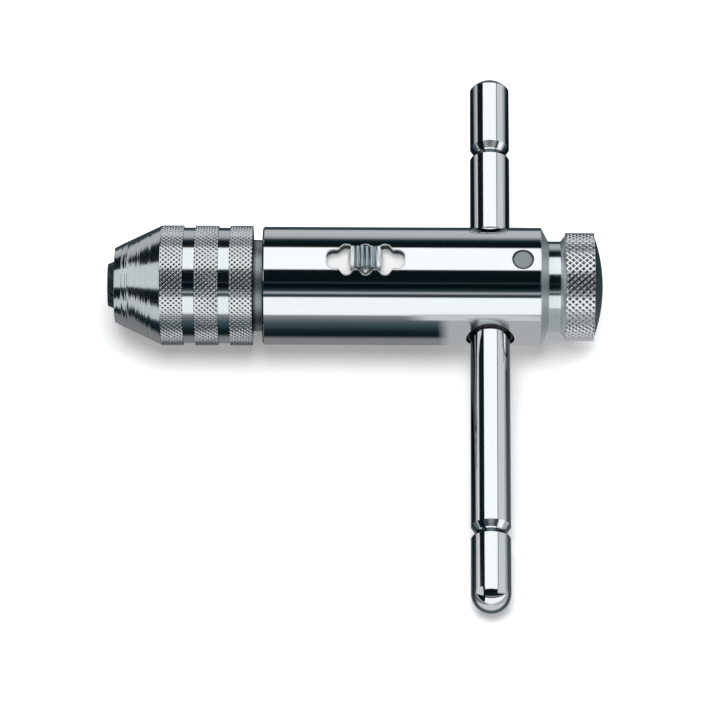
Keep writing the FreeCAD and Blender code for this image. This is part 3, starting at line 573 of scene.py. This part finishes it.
# %% Knurled bands
def knurled_band(name, start, length, radius, depth, pitch, stretch, drop, finish):
    """One band in millimetres. Pitch is the width of a diamond, stretch its length over its width."""
    around = round(2 * math.pi * radius / pitch)
    along = length / (pitch * stretch)
    settings = {
        "Start": start * MM,
        "Length": length * MM,
        "Radius": radius * MM,
        "Depth": depth * MM,
        "End Wall": drop * MM,
        "Diamonds Around": around,
        "Diamonds Along": along,
        "Columns": around * STEPS_IN_DIAMOND,
        "Rows": round(along * STEPS_IN_DIAMOND) + 2,
        "Finish": finish,
    }
    return run_tree(name, KNURL, settings)


NUT_BANDS = ((9.15, 12.85), (14.85, 18.80), (20.75, 24.55))
NUT_KNURL_DEPTH = 0.28
NUT_DIAMOND = 0.84
NUT_DROP = 0.40
DIAMOND_STRETCH = 1.1
nut_chrome = knurl_metal("nut_chrome", NUT_RADIUS, NUT_KNURL_DEPTH * MM)

bands = []
for number, (start, end) in enumerate(NUT_BANDS):
    name = f"nut_band_{number}"
    size = (start, end - start, NUT_RADIUS / MM, NUT_KNURL_DEPTH, NUT_DIAMOND, DIAMOND_STRETCH, NUT_DROP)
    bands.append(knurled_band(name, *size, nut_chrome))
nut_knurl = join("nut_knurl", bands)
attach(nut_knurl, "chuck_nut")
print("nut knurl", len(nut_knurl.data.polygons), "faces")

# %% [markdown]
# The nut's nose is a cone straight from the lathe tool, with fine rings that catch the light in streaks.
# The few deeper lines are in the outline itself, the finest ones in the finish. Behind it come the plain
# grooves between the knurled bands, with small rounded corners. The bore is copied from the CAD solid's
# sizes, so that the jaws and the spindle still fit when the nut moves.

# %% Chuck nut
NOSE_FRONT = 1.20
NOSE_RADIUS = 6.37
MOUTH_RADIUS = 4.10
CONE_REAR = 9.15
CONE_SHOULDER = 10.13
GROOVE_RADIUS = 9.80
NUT_REAR = 24.55
BORE_RADIUS = 7.85
COUNTERBORE_RADIUS = 8.85
COUNTERBORE_FRONT = 23.05
CONE_ANGLE = math.radians(20)
TOOL_LINES = (0.16, 0.245, 0.285)
LINE_HALF = 0.045
LINE_DEPTH = 0.03
CORNER = 0.05


def cone_point(share, sunk=0.0):
    """A point on the nose cone, by its share of the way from the small end to the large end."""
    radius = NOSE_RADIUS + (CONE_SHOULDER - NOSE_RADIUS) * share
    return (NOSE_FRONT + (CONE_REAR - NOSE_FRONT) * share, radius - sunk)


def cone_lines():
    """The nose cone with the few deeper lines that the tool left."""
    half = LINE_HALF / (CONE_REAR - NOSE_FRONT)
    points = [cone_point(0)]
    for line in TOOL_LINES:
        points += [cone_point(line - half), cone_point(line, LINE_DEPTH), cone_point(line + half)]
    return points + [cone_point(1)]


def nut_outline():
    points = [(NOSE_FRONT + 0.12, MOUTH_RADIUS)]
    points += [(NOSE_FRONT, MOUTH_RADIUS + 0.12), (NOSE_FRONT, NOSE_RADIUS - 0.15)]
    points += [(NOSE_FRONT + 0.06, NOSE_RADIUS - 0.03)]
    points += cone_lines()[1:]
    core = NUT_RADIUS / MM - NUT_DROP
    for start, end in NUT_BANDS:
        points += [(start, core), (end, core), (end, GROOVE_RADIUS - CORNER), (end + CORNER, GROOVE_RADIUS)]
        if end < NUT_REAR:
            following = [band[0] for band in NUT_BANDS if band[0] > end][0]
            points += [(following - CORNER, GROOVE_RADIUS), (following, GROOVE_RADIUS - CORNER)]
    del points[-2:]
    points += [(NUT_REAR, COUNTERBORE_RADIUS + 0.1), (NUT_REAR - 0.1, COUNTERBORE_RADIUS)]
    points += [(COUNTERBORE_FRONT, COUNTERBORE_RADIUS), (COUNTERBORE_FRONT, BORE_RADIUS)]
    cone_inside = NOSE_FRONT + (BORE_RADIUS - MOUTH_RADIUS) / math.tan(CONE_ANGLE)
    points += [(cone_inside, BORE_RADIUS)]
    return points


def nut_finish():
    """Chrome over turning marks: strong fine rings on the cone, an even polish in the grooves."""
    made, shader, where = new_material("nut_turned", metallic=1.0)
    along, _, _ = parts_of(where)
    rings = noise(where, 4200.0, 3.0, (1.0, 0.006, 0.006))
    wide = noise(where, 1500.0, 1.0, (1.0, 0.008, 0.008))
    on_cone = 1 - along.between((CONE_REAR - 0.1) * MM, CONE_REAR * MM)
    feed(mixed(rings, (0.70, 0.76, 0.77, 1), (0.93, 0.95, 0.95, 1)), shader, "Base Color")
    feed(rings * on_cone * 0.06 + 0.10, shader, "Roughness")
    feed(bumped((rings * 0.35 + wide) * on_cone, 0.00006), shader, "Normal")
    return made


nut_turned = lathe("nut_turned", nut_outline(), closed=True)
nut_turned.data.materials.append(nut_finish())
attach(nut_turned, "chuck_nut")
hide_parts("chuck_nut")
print("nut outline", len(nut_outline()), "points")

# %% [markdown]
# The knob is one turned piece with the rear end of the body: a cone down to a neck, a cone up to the
# knurled band, and a low dome. The plug inside the tube, with the holes of the T-bar and the cross pin,
# stays as the CAD solid has it, so the copy is cut at the rear end of the tube and the turned end joined on.

# %% Knob
TUBE_REAR = 73.20
NECK_FRONT = 74.50
NECK_REAR = 76.55
NECK_RADIUS = 7.70
BAND_FRONT = 77.40
BAND_REAR = 82.25
KNOB_RADIUS = 9.15
KNOB_KNURL_DEPTH = 0.34
KNOB_DIAMOND = 1.04
KNOB_DROP = 0.40
KNOB_APEX = 83.80


def dome(foot_place, foot_radius, apex, count=14):
    """An arc from the edge of the band to the apex."""
    rise = apex - foot_place
    radius = (foot_radius**2 + rise**2) / (2 * rise)
    centre = apex - radius
    sweep = math.asin(foot_radius / radius)
    points = []
    for number in range(count + 1):
        angle = sweep * (1 - number / count)
        points.append((centre + radius * math.cos(angle), radius * math.sin(angle)))
    points[-1] = (apex, 0)
    return points


def knob_end():
    core = KNOB_RADIUS - KNOB_DROP
    outline = [
        (TUBE_REAR, 0),
        (TUBE_REAR, TUBE_RADIUS / MM - 0.06),
        (TUBE_REAR + 0.06, TUBE_RADIUS / MM),
        (NECK_FRONT - CORNER, NECK_RADIUS + 0.08),
        (NECK_FRONT + CORNER, NECK_RADIUS),
        (NECK_REAR - CORNER, NECK_RADIUS),
        (NECK_REAR + CORNER, NECK_RADIUS + 0.08),
        (BAND_FRONT, core),
        (BAND_REAR, core),
    ]
    return lathe("knob_end", outline + dome(BAND_REAR, core + 0.02, KNOB_APEX))


def knob_plug():
    model = merged("rear_knob")
    everything = list(model.verts) + list(model.edges) + list(model.faces)
    cut_place = (TUBE_REAR - 0.01) * MM
    cut = bmesh.ops.bisect_plane(
        model, geom=everything, plane_co=(cut_place, 0, 0), plane_no=(1, 0, 0), clear_outer=True
    )
    edges = [item for item in cut["geom_cut"] if isinstance(item, bmesh.types.BMEdge)]
    bmesh.ops.edgenet_fill(model, edges=edges)
    return mesh_object("knob_plug", model, SOLID_SHARP)


def knob_finish():
    """Chrome, but dark grey with turned rings on the dome, and painted light that makes the dome lighter
    towards its back.
    """
    made, shader, where = new_material("knob_turned", metallic=1.0)
    along, across, up = parts_of(where)
    marks = noise(where, 3000.0, 3.0, ACROSS)
    on_dome = along.between((BAND_REAR - 0.2) * MM, BAND_REAR * MM)
    chrome = mixed(marks, (0.66, 0.73, 0.74, 1), (0.88, 0.91, 0.91, 1))
    sockets = {"W": far_from(across, up), "Scale": 2600.0, "Detail": 3.0}
    rings = across.node("ShaderNodeTexNoise", {"noise_dimensions": "1D"}, sockets)
    # Half of the dome's lightness is painted light, a gradient lighter towards the back; the other half
    # follows the turned rings.
    bright = rings.between(0.3, 0.7) * 0.5 + across.between(-6 * MM, 8 * MM) * 0.5
    dome_with_painted_light = mixed(bright, (0.045, 0.085, 0.092, 1), (0.23, 0.30, 0.315, 1))
    feed(mixed(on_dome, chrome, dome_with_painted_light), shader, "Base Color")
    front_cone = 1 - along.between((NECK_FRONT - CORNER) * MM, NECK_FRONT * MM)
    rear_cone = along.between(NECK_REAR * MM, (NECK_REAR + CORNER) * MM)
    on_cone = front_cone.largest(rear_cone)
    feed(marks * 0.08 + on_dome * 0.10 + on_cone * 0.30 + 0.08, shader, "Roughness")
    return made


knob_turned = join("knob_turned", [knob_end(), knob_plug()])
knob_turned.data.materials.append(knob_finish())
smooth(knob_turned, TURNED_SHARP)
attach(knob_turned, "housing")
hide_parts("rear_knob")

knob_chrome = knurl_metal("knob_chrome", KNOB_RADIUS * MM, KNOB_KNURL_DEPTH * MM)
size = (BAND_FRONT, BAND_REAR - BAND_FRONT, KNOB_RADIUS, KNOB_KNURL_DEPTH)
knob_knurl = knurled_band("knob_knurl", *size, KNOB_DIAMOND, DIAMOND_STRETCH, KNOB_DROP, knob_chrome)
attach(knob_knurl, "housing")
print("knob", len(knob_turned.data.polygons), "faces, its knurl", len(knob_knurl.data.polygons))

# %% [markdown]
# The T-bar is a polished rod with a V groove near each end, one ball end and one flatter end. It is turned
# about X like the other pieces and then laid along its own axis, which rolls with the body because the long
# end of the bar rests on the table.

# %% T-bar
FAR_REACH = 39.75
FAR_DOME = 1.8
GROOVE_PLACE = 14.3
GROOVE_HALF = 1.05
GROOVE_DEPTH = 0.77


def groove(place):
    """A V groove with slightly rounded corners, in the order of growing place along the bar."""
    full = BAR_RADIUS / MM
    ease = 0.12
    return [
        (place - GROOVE_HALF - ease, full),
        (place - GROOVE_HALF + ease / 2, full - ease),
        (place - ease, full - GROOVE_DEPTH + ease / 2),
        (place + ease, full - GROOVE_DEPTH + ease / 2),
        (place + GROOVE_HALF - ease / 2, full - ease),
        (place + GROOVE_HALF + ease, full),
    ]


def bar_outline():
    full = BAR_RADIUS / MM
    near = -BAR_NEAR_REACH / MM
    ball = [(-place, radius) for place, radius in reversed(dome(-near - full, full, -near))]
    flat_end = dome(FAR_REACH - FAR_DOME, full, FAR_REACH)
    return ball + groove(near + GROOVE_PLACE) + groove(FAR_REACH - GROOVE_PLACE) + flat_end


bar_turned = moved(lathe("bar_turned", bar_outline(), sides=128), TO_BAR)
bar_turned.data.materials.append(bar_chrome)
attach(bar_turned, "handle_bar")
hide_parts("handle_bar")
reach = [min(v.co.y for v in bar_turned.data.vertices), max(v.co.y for v in bar_turned.data.vertices)]
print("bar from", reach[0] / MM, "to", reach[1] / MM, "and CAD from", bar_low.y / MM, "to", bar_high.y / MM)

# %% [markdown]
# The rest of the pieces keep their CAD shape in a smooth copy: the tube with its scalloped window, the
# jaws, the switch and the hidden mechanism. The two jaw springs are drawn in a little at their ends, because
# the jaws press on them.

# %% Pieces that keep their CAD shape
KEPT = {
    "housing": ("housing", tube_chrome, "body_chrome"),
    "jaw_a": ("jaw_a", dark_steel, "jaw_steel"),
    "jaw_b": ("jaw_b", dark_steel, "jaw_steel"),
    "spindle": ("spindle", spindle_steel, "spindle_steel"),
    "thrust_washer": ("spindle", spring_steel, "spring_steel"),
    "circlip": ("spindle", spring_steel, "spring_steel"),
    "jaw_spring_a": ("spindle", spring_steel, "spring_steel"),
    "jaw_spring_b": ("spindle", spring_steel, "spring_steel"),
    "ratchet_bush": ("housing", bush_steel, "bush_steel"),
    "pawl_pin": ("housing", spring_steel, "pin_steel"),
    "pawl": ("pawl", pawl_steel, "pawl_steel"),
    "switch_button": ("switch", button_steel, "switch_steel"),
    "switch_plate": ("switch", bright_nickel, "switch_steel"),
    "detent_spring": ("switch", bright_nickel, "spring_steel"),
    "plunger": ("switch", spring_steel, "switch_steel"),
    "plunger_spring": ("switch", spring_steel, "spring_steel"),
}
SPINDLE_RADIUS = 7.75 * MM
PLATE_RADII = (8.62 * MM, 7.8 * MM)
ROUND = {"housing": (TUBE_RADIUS,), "spindle": (SPINDLE_RADIUS,), "switch_plate": PLATE_RADII}

JAW_ANGLE = math.radians(29.16)
JAW_WAY = Vector((0, math.sin(JAW_ANGLE), math.cos(JAW_ANGLE)))
SPRING_ROOM = 0.22 * MM


def draw_in(piece):
    """Shorten a jaw spring at both ends, so that the jaws don't cut into it when they close."""
    reach = max(abs(vertex.co.dot(JAW_WAY)) for vertex in piece.data.vertices)
    for vertex in piece.data.vertices:
        vertex.co -= JAW_WAY * vertex.co.dot(JAW_WAY) * SPRING_ROOM / reach


for node, (body, finish, slot_name) in KEPT.items():
    piece = smooth_copy(node, radii=ROUND.get(node, ()))
    if node.startswith("jaw_spring"):
        draw_in(piece)
    piece.data.materials.append(finish)
    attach(piece, body)
    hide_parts(node)
print(len(KEPT), "smooth copies")

# %% [markdown]
# The nut hides the thread of the spindle, until it is screwed forward. Then its last turns show in front of
# the body. They are a grid of vertices bent round the spindle, each lifted by its place in the turn.

# %% Thread of the spindle
THREAD_START = 13.2
THREAD_END = 24.4
THREAD_PITCH = 1.0
THREAD_ROOT = 7.70
THREAD_CREST = 7.84
THREAD_COLUMNS = 96
THREAD_STEP = 0.125
THREAD_STEEPNESS = 2.6


def thread_radius(place, turn):
    """How high the thread stands at a place along the axis and a share of the way round it."""
    share = (place / THREAD_PITCH + turn) % 1
    return THREAD_ROOT + (THREAD_CREST - THREAD_ROOT) * min(1.0, abs(share - 0.5) * THREAD_STEEPNESS)


def thread_band():
    """Closed rows round the spindle, with a root row at each end under the spindle's own skin."""
    rows = round((THREAD_END - THREAD_START) / THREAD_STEP) + 1
    model = bmesh.new()
    rings = []
    for row in range(rows):
        place = THREAD_START + row * THREAD_STEP
        radii = [thread_radius(place, column / THREAD_COLUMNS) for column in range(THREAD_COLUMNS)]
        if row in (0, rows - 1):
            radii = [THREAD_ROOT] * THREAD_COLUMNS
        rings.append(ring_of(model, place, radii))
    model.faces.new(rings[0])
    model.faces.new(rings[-1])
    bridge(model, rings)
    return mesh_object("spindle_thread", model, sharp=40.0)


spindle_thread = thread_band()
# The thread lies inside the nut's painted shadow on the spindle, so it is dark too.
spindle_thread.data.materials.append(spindle_steel)
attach(spindle_thread, "spindle")
print("thread", len(spindle_thread.data.polygons), "faces")

# %% [markdown]
# The cross pin holds the knob's plug in the tube. Its flush end shows beside the T-bar as a matt grey disc
# in a thin bright rim. A cylinder with a Bevel modifier would round the edge, but a turned outline also gives
# the rim its small step, and the finish changes at the same radius.

# %% Cross pin
PIN_END = 9.80


def pin_outline():
    """The pin from end to end, each end with a thin raised rim round a flat disc."""
    half = [(PIN_END - 0.05, 0), (PIN_END - 0.05, PIN_RADIUS - 0.26)]
    half += [(PIN_END, PIN_RADIUS - 0.2), (PIN_END, PIN_RADIUS - 0.08)]
    half += [(PIN_END - 0.08, PIN_RADIUS)]
    return [(-along, radius) for along, radius in half] + list(reversed(half))


def pin_finish():
    """Matt ground steel with a bright rim."""
    made, shader, where = new_material("pin_ground")
    along, across, up = parts_of(where)
    sideways = across * math.cos(ROLL) + up * math.sin(ROLL)
    from_middle = far_from(along - PIN_X * MM, sideways)
    rim = from_middle.between((PIN_RADIUS - 0.28) * MM, (PIN_RADIUS - 0.2) * MM)
    speckle = noise(where, 5000.0)
    feed(mixed(speckle, (0.17, 0.20, 0.20, 1), (0.27, 0.30, 0.30, 1)), shader, "Base Color")
    feed(0.62 - rim * 0.42, shader, "Roughness")
    feed(rim, shader, "Metallic")
    return made


UPRIGHT = Matrix.Translation((PIN_X * MM, 0, 0)) @ LYING @ Matrix.Rotation(-math.pi / 2, 4, "Y")
pin_turned = moved(lathe("pin_turned", pin_outline(), sides=64), UPRIGHT)
pin_turned.data.materials.append(pin_finish())
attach(pin_turned, "housing")
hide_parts("knob_pin")

# %% [markdown]
# Three rubber rings show as black lines: one round the T-bar in each of its mouths, and one behind the nut.
# Such a ring is a round cord, and Blender has a torus of its own for it. Here it is turned from a circle,
# because the lathe is there already, and laid where the CAD box has it.


# %% Rubber rings
def torus(name, ring_radius, cord_radius, around=96, across=24):
    """A torus about X at the origin, in metres."""
    points = []
    for number in range(across):
        angle = 2 * math.pi * number / across
        along = cord_radius * math.cos(angle)
        outward = ring_radius + cord_radius * math.sin(angle)
        points.append((along / MM, outward / MM))
    return lathe(name, points, closed=True, sides=around, sharp=60.0)


BAR_RING_CORD = 0.31 * MM


def bar_ring(name, side):
    low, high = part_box(name)
    cord = BAR_RING_CORD
    centre = (low + high) / 2
    ring_radius = (high.x - low.x) / 2 - cord
    along = math.hypot(centre.y, centre.z) * side
    return moved(torus(name + "_cord", ring_radius, cord), TO_BAR @ Matrix.Translation((along, 0, 0)))


def nut_ring():
    low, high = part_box("nut_ring")
    cord = (high.x - low.x) / 2
    ring_radius = (high.z - low.z) / 2 - cord
    ring = torus("nut_ring_cord", ring_radius, cord)
    return moved(ring, Matrix.Translation(((low.x + high.x) / 2, 0, 0)))


for name, ring, body in (
    ("bar_ring_near", bar_ring("bar_ring_near", -1), "housing"),
    ("bar_ring_far", bar_ring("bar_ring_far", 1), "housing"),
    ("nut_ring", nut_ring(), "nut_ring"),
):
    ring.data.materials.append(black_rubber)
    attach(ring, body)
    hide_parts(name)
    print(name, [round(c / MM, 2) for c in ring.data.vertices[0].co])

# %% [markdown]
# The edges of the window and of the holes in the tube are broken by a small rounding that catches the light
# as a thin bright line. The CAD mesh has long thin triangles there, which a Bevel modifier tears, so the
# rounding is a thin bright wire that is let into each edge. The edges are found in the mesh: both ends lie
# on the outer cylinder, and one of the two faces is a wall.

# %% Bright edges of the openings
RIM_RADIUS = 0.11 * MM
RIM_SIDES = 8


def opening_edges(model):
    """Edges between the outer cylinder and a wall, each vertex with the directions away from the metal."""
    found = {}
    for edge in model.edges:
        if len(edge.link_faces) != 2:
            continue
        if any(abs(math.hypot(v.co.y, v.co.z) - TUBE_RADIUS) > 0.03 * MM for v in edge.verts):
            continue
        outward = Vector((0, edge.verts[0].co.y, edge.verts[0].co.z)).normalized()
        faces = sorted(edge.link_faces, key=lambda face: face.normal.dot(outward))
        wall, skin = faces
        if skin.normal.dot(outward) < 0.95 or wall.normal.dot(outward) > 0.5:
            continue
        if abs(wall.normal.x) > 0.99 and abs(edge.verts[0].co.x - tube_low.x) < 1 * MM:
            continue
        for vertex in edge.verts:
            found.setdefault(vertex.index, []).append((edge, outward, wall.normal.copy()))
    return found


def edge_loops(model, found):
    """Chain the edges into closed loops of vertex indices."""
    loops = []
    left = set(found)
    while left:
        start = left.pop()
        loop = [start]
        here = start
        while True:
            beyond = [edge.other_vert(model.verts[here]).index for edge, _, _ in found[here]]
            fresh = [index for index in beyond if index in left]
            if not fresh:
                break
            here = fresh[0]
            left.discard(here)
            loop.append(here)
        loops.append(loop)
    from_pin = [min(abs(model.verts[index].co.x - PIN_X * MM) for index in loop) for loop in loops]
    return [loop for loop, gap in zip(loops, from_pin) if len(loop) > 8 and gap > PIN_RADIUS * MM]


def rim_wires():
    source = merged("housing")
    source.verts.index_update()
    source.verts.ensure_lookup_table()
    found = opening_edges(source)
    model = bmesh.new()
    loops = edge_loops(source, found)
    for loop in loops:
        rings = []
        for index in loop:
            outward = sum((skin for _, skin, _ in found[index]), Vector()).normalized()
            inward = sum((wall for _, _, wall in found[index]), Vector()).normalized()
            centre = source.verts[index].co - RIM_RADIUS * 0.8 * (outward + inward)
            ring = []
            for side in range(RIM_SIDES):
                angle = 2 * math.pi * side / RIM_SIDES
                away = math.cos(angle) * outward + math.sin(angle) * inward
                ring.append(model.verts.new(centre + RIM_RADIUS * away))
            rings.append(ring)
        bridge(model, rings, closed=True)
    source.free()
    return mesh_object("opening_rims", model, sharp=80.0), [len(loop) for loop in loops]


opening_rims, loop_sizes = rim_wires()
opening_rims.data.materials.append(body_chrome)
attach(opening_rims, "housing")
print("loops of", loop_sizes, "vertices")

# %% [markdown]
# The picture was taken with a long lens from the front and above, on white paper under one large soft light
# a little behind the object. Chrome has no colour of its own, so its stripes are the studio: the soft
# light is the white band on top, the dark room behind the camera is the black band under it, and the paper
# is the white band below that. The world holds this studio as a function of direction. It is measured as
# an angle round the X axis, from the table in front, up and over to the table behind, and as a side angle.
# The left wall is lit beyond an edge that stands further out towards the back, and that edge sets the width
# of the dark stripe along the T-bar.

# %% Studio light
SOFT = 1.04
DEGREES = 180 / math.pi
OVER = [
    (-90, 0.98),
    (32.5, 0.98),
    (34, 0.035),
    (39, 0.035),
    (40.5, 0.34),
    (43.5, 0.34),
    (45, 0.07),
    (49, 0.02),
    (53, 0.004),
    (59, 0.003),
    (61.5, 0.04),
    (64, 0.006),
    (87, 0.006),
    (88.5, SOFT),
    (135.5, SOFT),
    (137, 0.006),
    (152, 0.008),
    (158, 0.04),
    (164, 0.28),
    (170, 0.47),
    (190, 0.47),
    (270, 0.05),
]
LEFT_SIDE = (0.008, 0.65)
RIGHT_SIDE = (0.05, 0.62)
SOFT_HALF_WIDTH = 33.0
LEFT_DARK_TO = 45.0
LEFT_FOOT = 44.0
RIGHT_FOOT = 60.0
BACK_TOP = 160.0
LEAN_FROM = 112.0
LEAN_RATE = 1.1
LEAN_MOST = 12.6
RIGHT_DARK_TO = 36.5


def shade(level):
    """A grey level, more teal where it is dark."""
    dark = max(0.0, 1 - level / 0.2)
    return (level * (0.97 - 0.55 * dark), level, level * (1.02 + 0.3 * dark), 1)


def rays(tree):
    """Two numbers: 1 for rays that the camera sees, straight or through glass, and 1 for mirrored rays."""
    paths = tree.nodes.new("ShaderNodeLightPath")
    kinds = ("Is Camera Ray", "Is Transmission Ray", "Is Glossy Ray")
    seen, through, mirrored = [Value(tree, paths.outputs[kind]) for kind in kinds]
    return seen.largest(through), mirrored


def studio():
    world = bpy.data.worlds.new("studio")
    bpy.context.scene.world = world
    world.use_nodes = True
    tree = world.node_tree
    tree.nodes.clear()
    coordinates = tree.nodes.new("ShaderNodeTexCoord")
    direction = Value(tree, coordinates.outputs["Generated"])
    x, y, z = parts_of(direction)
    over = direction.math("ARCTAN2", z, 0 - y) * DEGREES
    over = over + (over < -90) * 360
    side = direction.math("ARCTAN2", x, far_from(y, z)) * DEGREES
    stops = [((angle + 90) / 360, shade(level)) for angle, level in OVER]
    middle = direction.node("ShaderNodeValToRGB", {"stops": stops}, {0: (over + 90) / 360})
    in_front = 1 - over.between(BACK_TOP, BACK_TOP + 6)
    lean = ((over - LEAN_FROM) * LEAN_RATE).largest(0.0).smallest(LEAN_MOST)
    above_foot = over.between(LEFT_FOOT, LEFT_FOOT + 2)
    lit_wall = above_foot * (1 - (side + lean).between(-LEFT_DARK_TO - 1, -LEFT_DARK_TO))
    left = mixed(lit_wall, shade(LEFT_SIDE[0]), shade(LEFT_SIDE[1]))
    right = mixed(side.between(RIGHT_DARK_TO, RIGHT_DARK_TO + 1), shade(RIGHT_SIDE[0]), shade(RIGHT_SIDE[1]))
    beyond_left = 1 - side.between(-SOFT_HALF_WIDTH - 1, -SOFT_HALF_WIDTH)
    beyond_right = side.between(SOFT_HALF_WIDTH, SOFT_HALF_WIDTH + 1)
    room = mixed(beyond_left * in_front, middle, left)
    room = mixed(beyond_right * over.between(RIGHT_FOOT, RIGHT_FOOT + 6) * in_front, room, right)
    seen, _ = rays(tree)
    color = mixed(seen, room, (1, 1, 1, 1))
    background = tree.nodes.new("ShaderNodeBackground")
    tree.links.new(color.socket, background.inputs["Color"])
    output = tree.nodes.new("ShaderNodeOutputWorld")
    tree.links.new(background.outputs[0], output.inputs["Surface"])
    return world


studio()
print("studio with", len(OVER), "bands")

# %% [markdown]
# The photograph's shadow is close under the tool and soft at its edge, as a round lamp gives it from almost
# straight above. The chrome would show that lamp as a spot, which the photograph doesn't have, so mirror
# rays miss it.

# %% Lamp overhead
FRAME_MIDDLE = 42.72 * MM
LAMP_SIZE = 0.32
LAMP_PLACE = (0.012, -0.085, 0.5)
LAMP_POWER = 1.9


def lamp():
    data = bpy.data.lights.new("overhead", "AREA")
    data.shape = "DISK"
    data.size = LAMP_SIZE
    data.energy = LAMP_POWER
    made = add_object("overhead", data)
    made.location = LAMP_PLACE
    made.visible_glossy = False
    return made


print("lamp at", list(lamp().location))

# %% [markdown]
# The floor is white paper. The camera has to see it as pure white, and its shadow as soft grey, so the
# floor is a diffuse surface with a little light of its own that only camera rays see. It has more of that
# light behind the tool, beyond the knob and far away, where the photograph's paper shows no shadow; behind
# the tool and beyond the knob it is painted light that lifts the shadow. In the chrome the paper looks
# darker, because it is lit least close to the object, and mirror rays see a painted grey for it: an emission
# that stands in for that shade and depends on how far in front of or behind the object they land.

# %% Floor
FLOOR_SIZE = 1.5
FLOOR_GLOW = 0.20
CLEAR_GLOW = 0.3
PAPER_REACH = 0.4
PAPER_IN_CHROME = [
    (-300, 0.92),
    (-200, 0.30),
    (-90, 0.20),
    (-60, 0.15),
    (-46, 0.10),
    (-31, 0.06),
    (-25, 0.035),
    (-21, 0.015),
    (-15.5, 0.012),
    (-14.5, 0.22),
    (0, 0.22),
    (12, 0.06),
    (58, 0.05),
    (68, 0.45),
    (180, 0.5),
]
DARK_STRIP_END = 56.0
CLEAR_BEHIND = (8, 22)
CLEAR_BEYOND = (77.5, 83.0)
WHITE_FROM = (120, 500)


def reached(along, places):
    """A ramp from 0 at the first place to 1 at the second, both in millimetres."""
    return along.between(places[0] * MM, places[1] * MM)


def paper_painted_for_chrome(where):
    """Painted shade and light of the paper in the chrome, an emitted grey by place: two patches by the T-bar
    and one left of the tool.
    """
    along, across, _ = parts_of(where)
    stops = [((place * MM / PAPER_REACH + 1) / 2, shade(level)) for place, level in PAPER_IN_CHROME]
    grey = across.node("ShaderNodeValToRGB", {"stops": stops}, {0: across / (2 * PAPER_REACH) + 0.5})
    beside_bar = reached(along, (DARK_STRIP_END, DARK_STRIP_END + 2)) * (1 - reached(across, (-1, 1)))
    grey = mixed(beside_bar, grey, shade(0.42))
    left_of_tool = (1 - reached(along, (-16, -9))) * (1 - reached(across, (-28, -24)))
    grey = mixed(left_of_tool, grey, shade(0.6))
    near_bar = 1 - reached((along - BAR_X).size(), (10, 14))
    return mixed(near_bar * (1 - reached(across, (-62, -60))), grey, shade(0.6))


def paper():
    made, shader, where = new_material("paper")
    tree = made.node_tree
    fibre = noise(where, 400.0)
    feed(mixed(fibre, (0.90, 0.90, 0.90, 1), (0.93, 0.93, 0.93, 1)), shader, "Base Color")
    shader.inputs["Roughness"].default_value = 0.9
    shader.inputs["Specular IOR Level"].default_value = 0.0
    seen, mirrored = rays(tree)
    along, across, _ = parts_of(where)
    away = far_from(along - FRAME_MIDDLE, across)
    # Painted light behind the tool and beyond the knob, which lifts the shadow there.
    clear = reached(across, CLEAR_BEHIND).largest(reached(along, CLEAR_BEYOND)) * CLEAR_GLOW
    own_light = reached(away, WHITE_FROM) * (1 - FLOOR_GLOW) + clear + FLOOR_GLOW
    color = mixed(seen * own_light, (0, 0, 0, 1), (1, 1, 1, 1))
    glow = seen.node("ShaderNodeEmission", None, {"Color": color})
    lit = seen.node("ShaderNodeAddShader", None, {0: Value(tree, shader.outputs[0]), 1: glow})
    # Mirror rays see a painted grey in place of the paper's shade.
    grey = seen.node("ShaderNodeEmission", None, {"Color": paper_painted_for_chrome(where)})
    both = seen.node("ShaderNodeMixShader", None, {0: mirrored, 1: lit, 2: grey})
    tree.links.new(both.socket, tree.nodes["Material Output"].inputs["Surface"])
    return made


def table_top():
    model = bmesh.new()
    bmesh.ops.create_grid(model, x_segments=1, y_segments=1, size=FLOOR_SIZE)
    bmesh.ops.translate(model, verts=model.verts, vec=(BAR_X, 0, TABLE_HEIGHT))
    return mesh_object("floor", model, SOLID_SHARP)


floor = table_top()
floor.data.materials.append(paper())
print("floor at", TABLE_HEIGHT / MM)

# %% [markdown]
# The camera looks from the front, 56 degrees up, through a long lens, so that the bar hardly widens towards
# its near end. In the photograph the bar stands upright, which it does only when the camera is straight in
# front of it. A large shift would push the tool out of the frame in views from other sides, so the camera
# stands only a third of the way there, with a slight tilt that shares the bar's lean with the body.

# %% Camera
ELEVATION = math.radians(56.2)
DISTANCE = 0.9
LENS = 265.5
AIM_DOWN = 12.5 * MM
CAMERA_X = 50.0 * MM
TILT = math.radians(0.25)
SENSOR = 36.0
FRAME_WIDTH = DISTANCE * SENSOR / LENS

towards = Vector((0, math.cos(ELEVATION), -math.sin(ELEVATION)))
upwards = Vector((0, math.sin(ELEVATION), math.cos(ELEVATION)))
aim = Vector((CAMERA_X, 0, 0)) - AIM_DOWN * upwards
camera_data = bpy.data.cameras.new("camera")
camera_data.lens = LENS
camera_data.sensor_width = SENSOR
camera_data.shift_x = (FRAME_MIDDLE - CAMERA_X) / FRAME_WIDTH
camera = add_object("camera", camera_data)
camera.location = aim - DISTANCE * towards
turned = towards.to_track_quat("-Z", "Y") @ Quaternion((0, 0, 1), TILT)
camera.rotation_euler = turned.to_euler()
bpy.context.scene.camera = camera
bpy.context.scene.view_settings.view_transform = "Standard"
print("camera at", [round(c, 3) for c in camera.location])
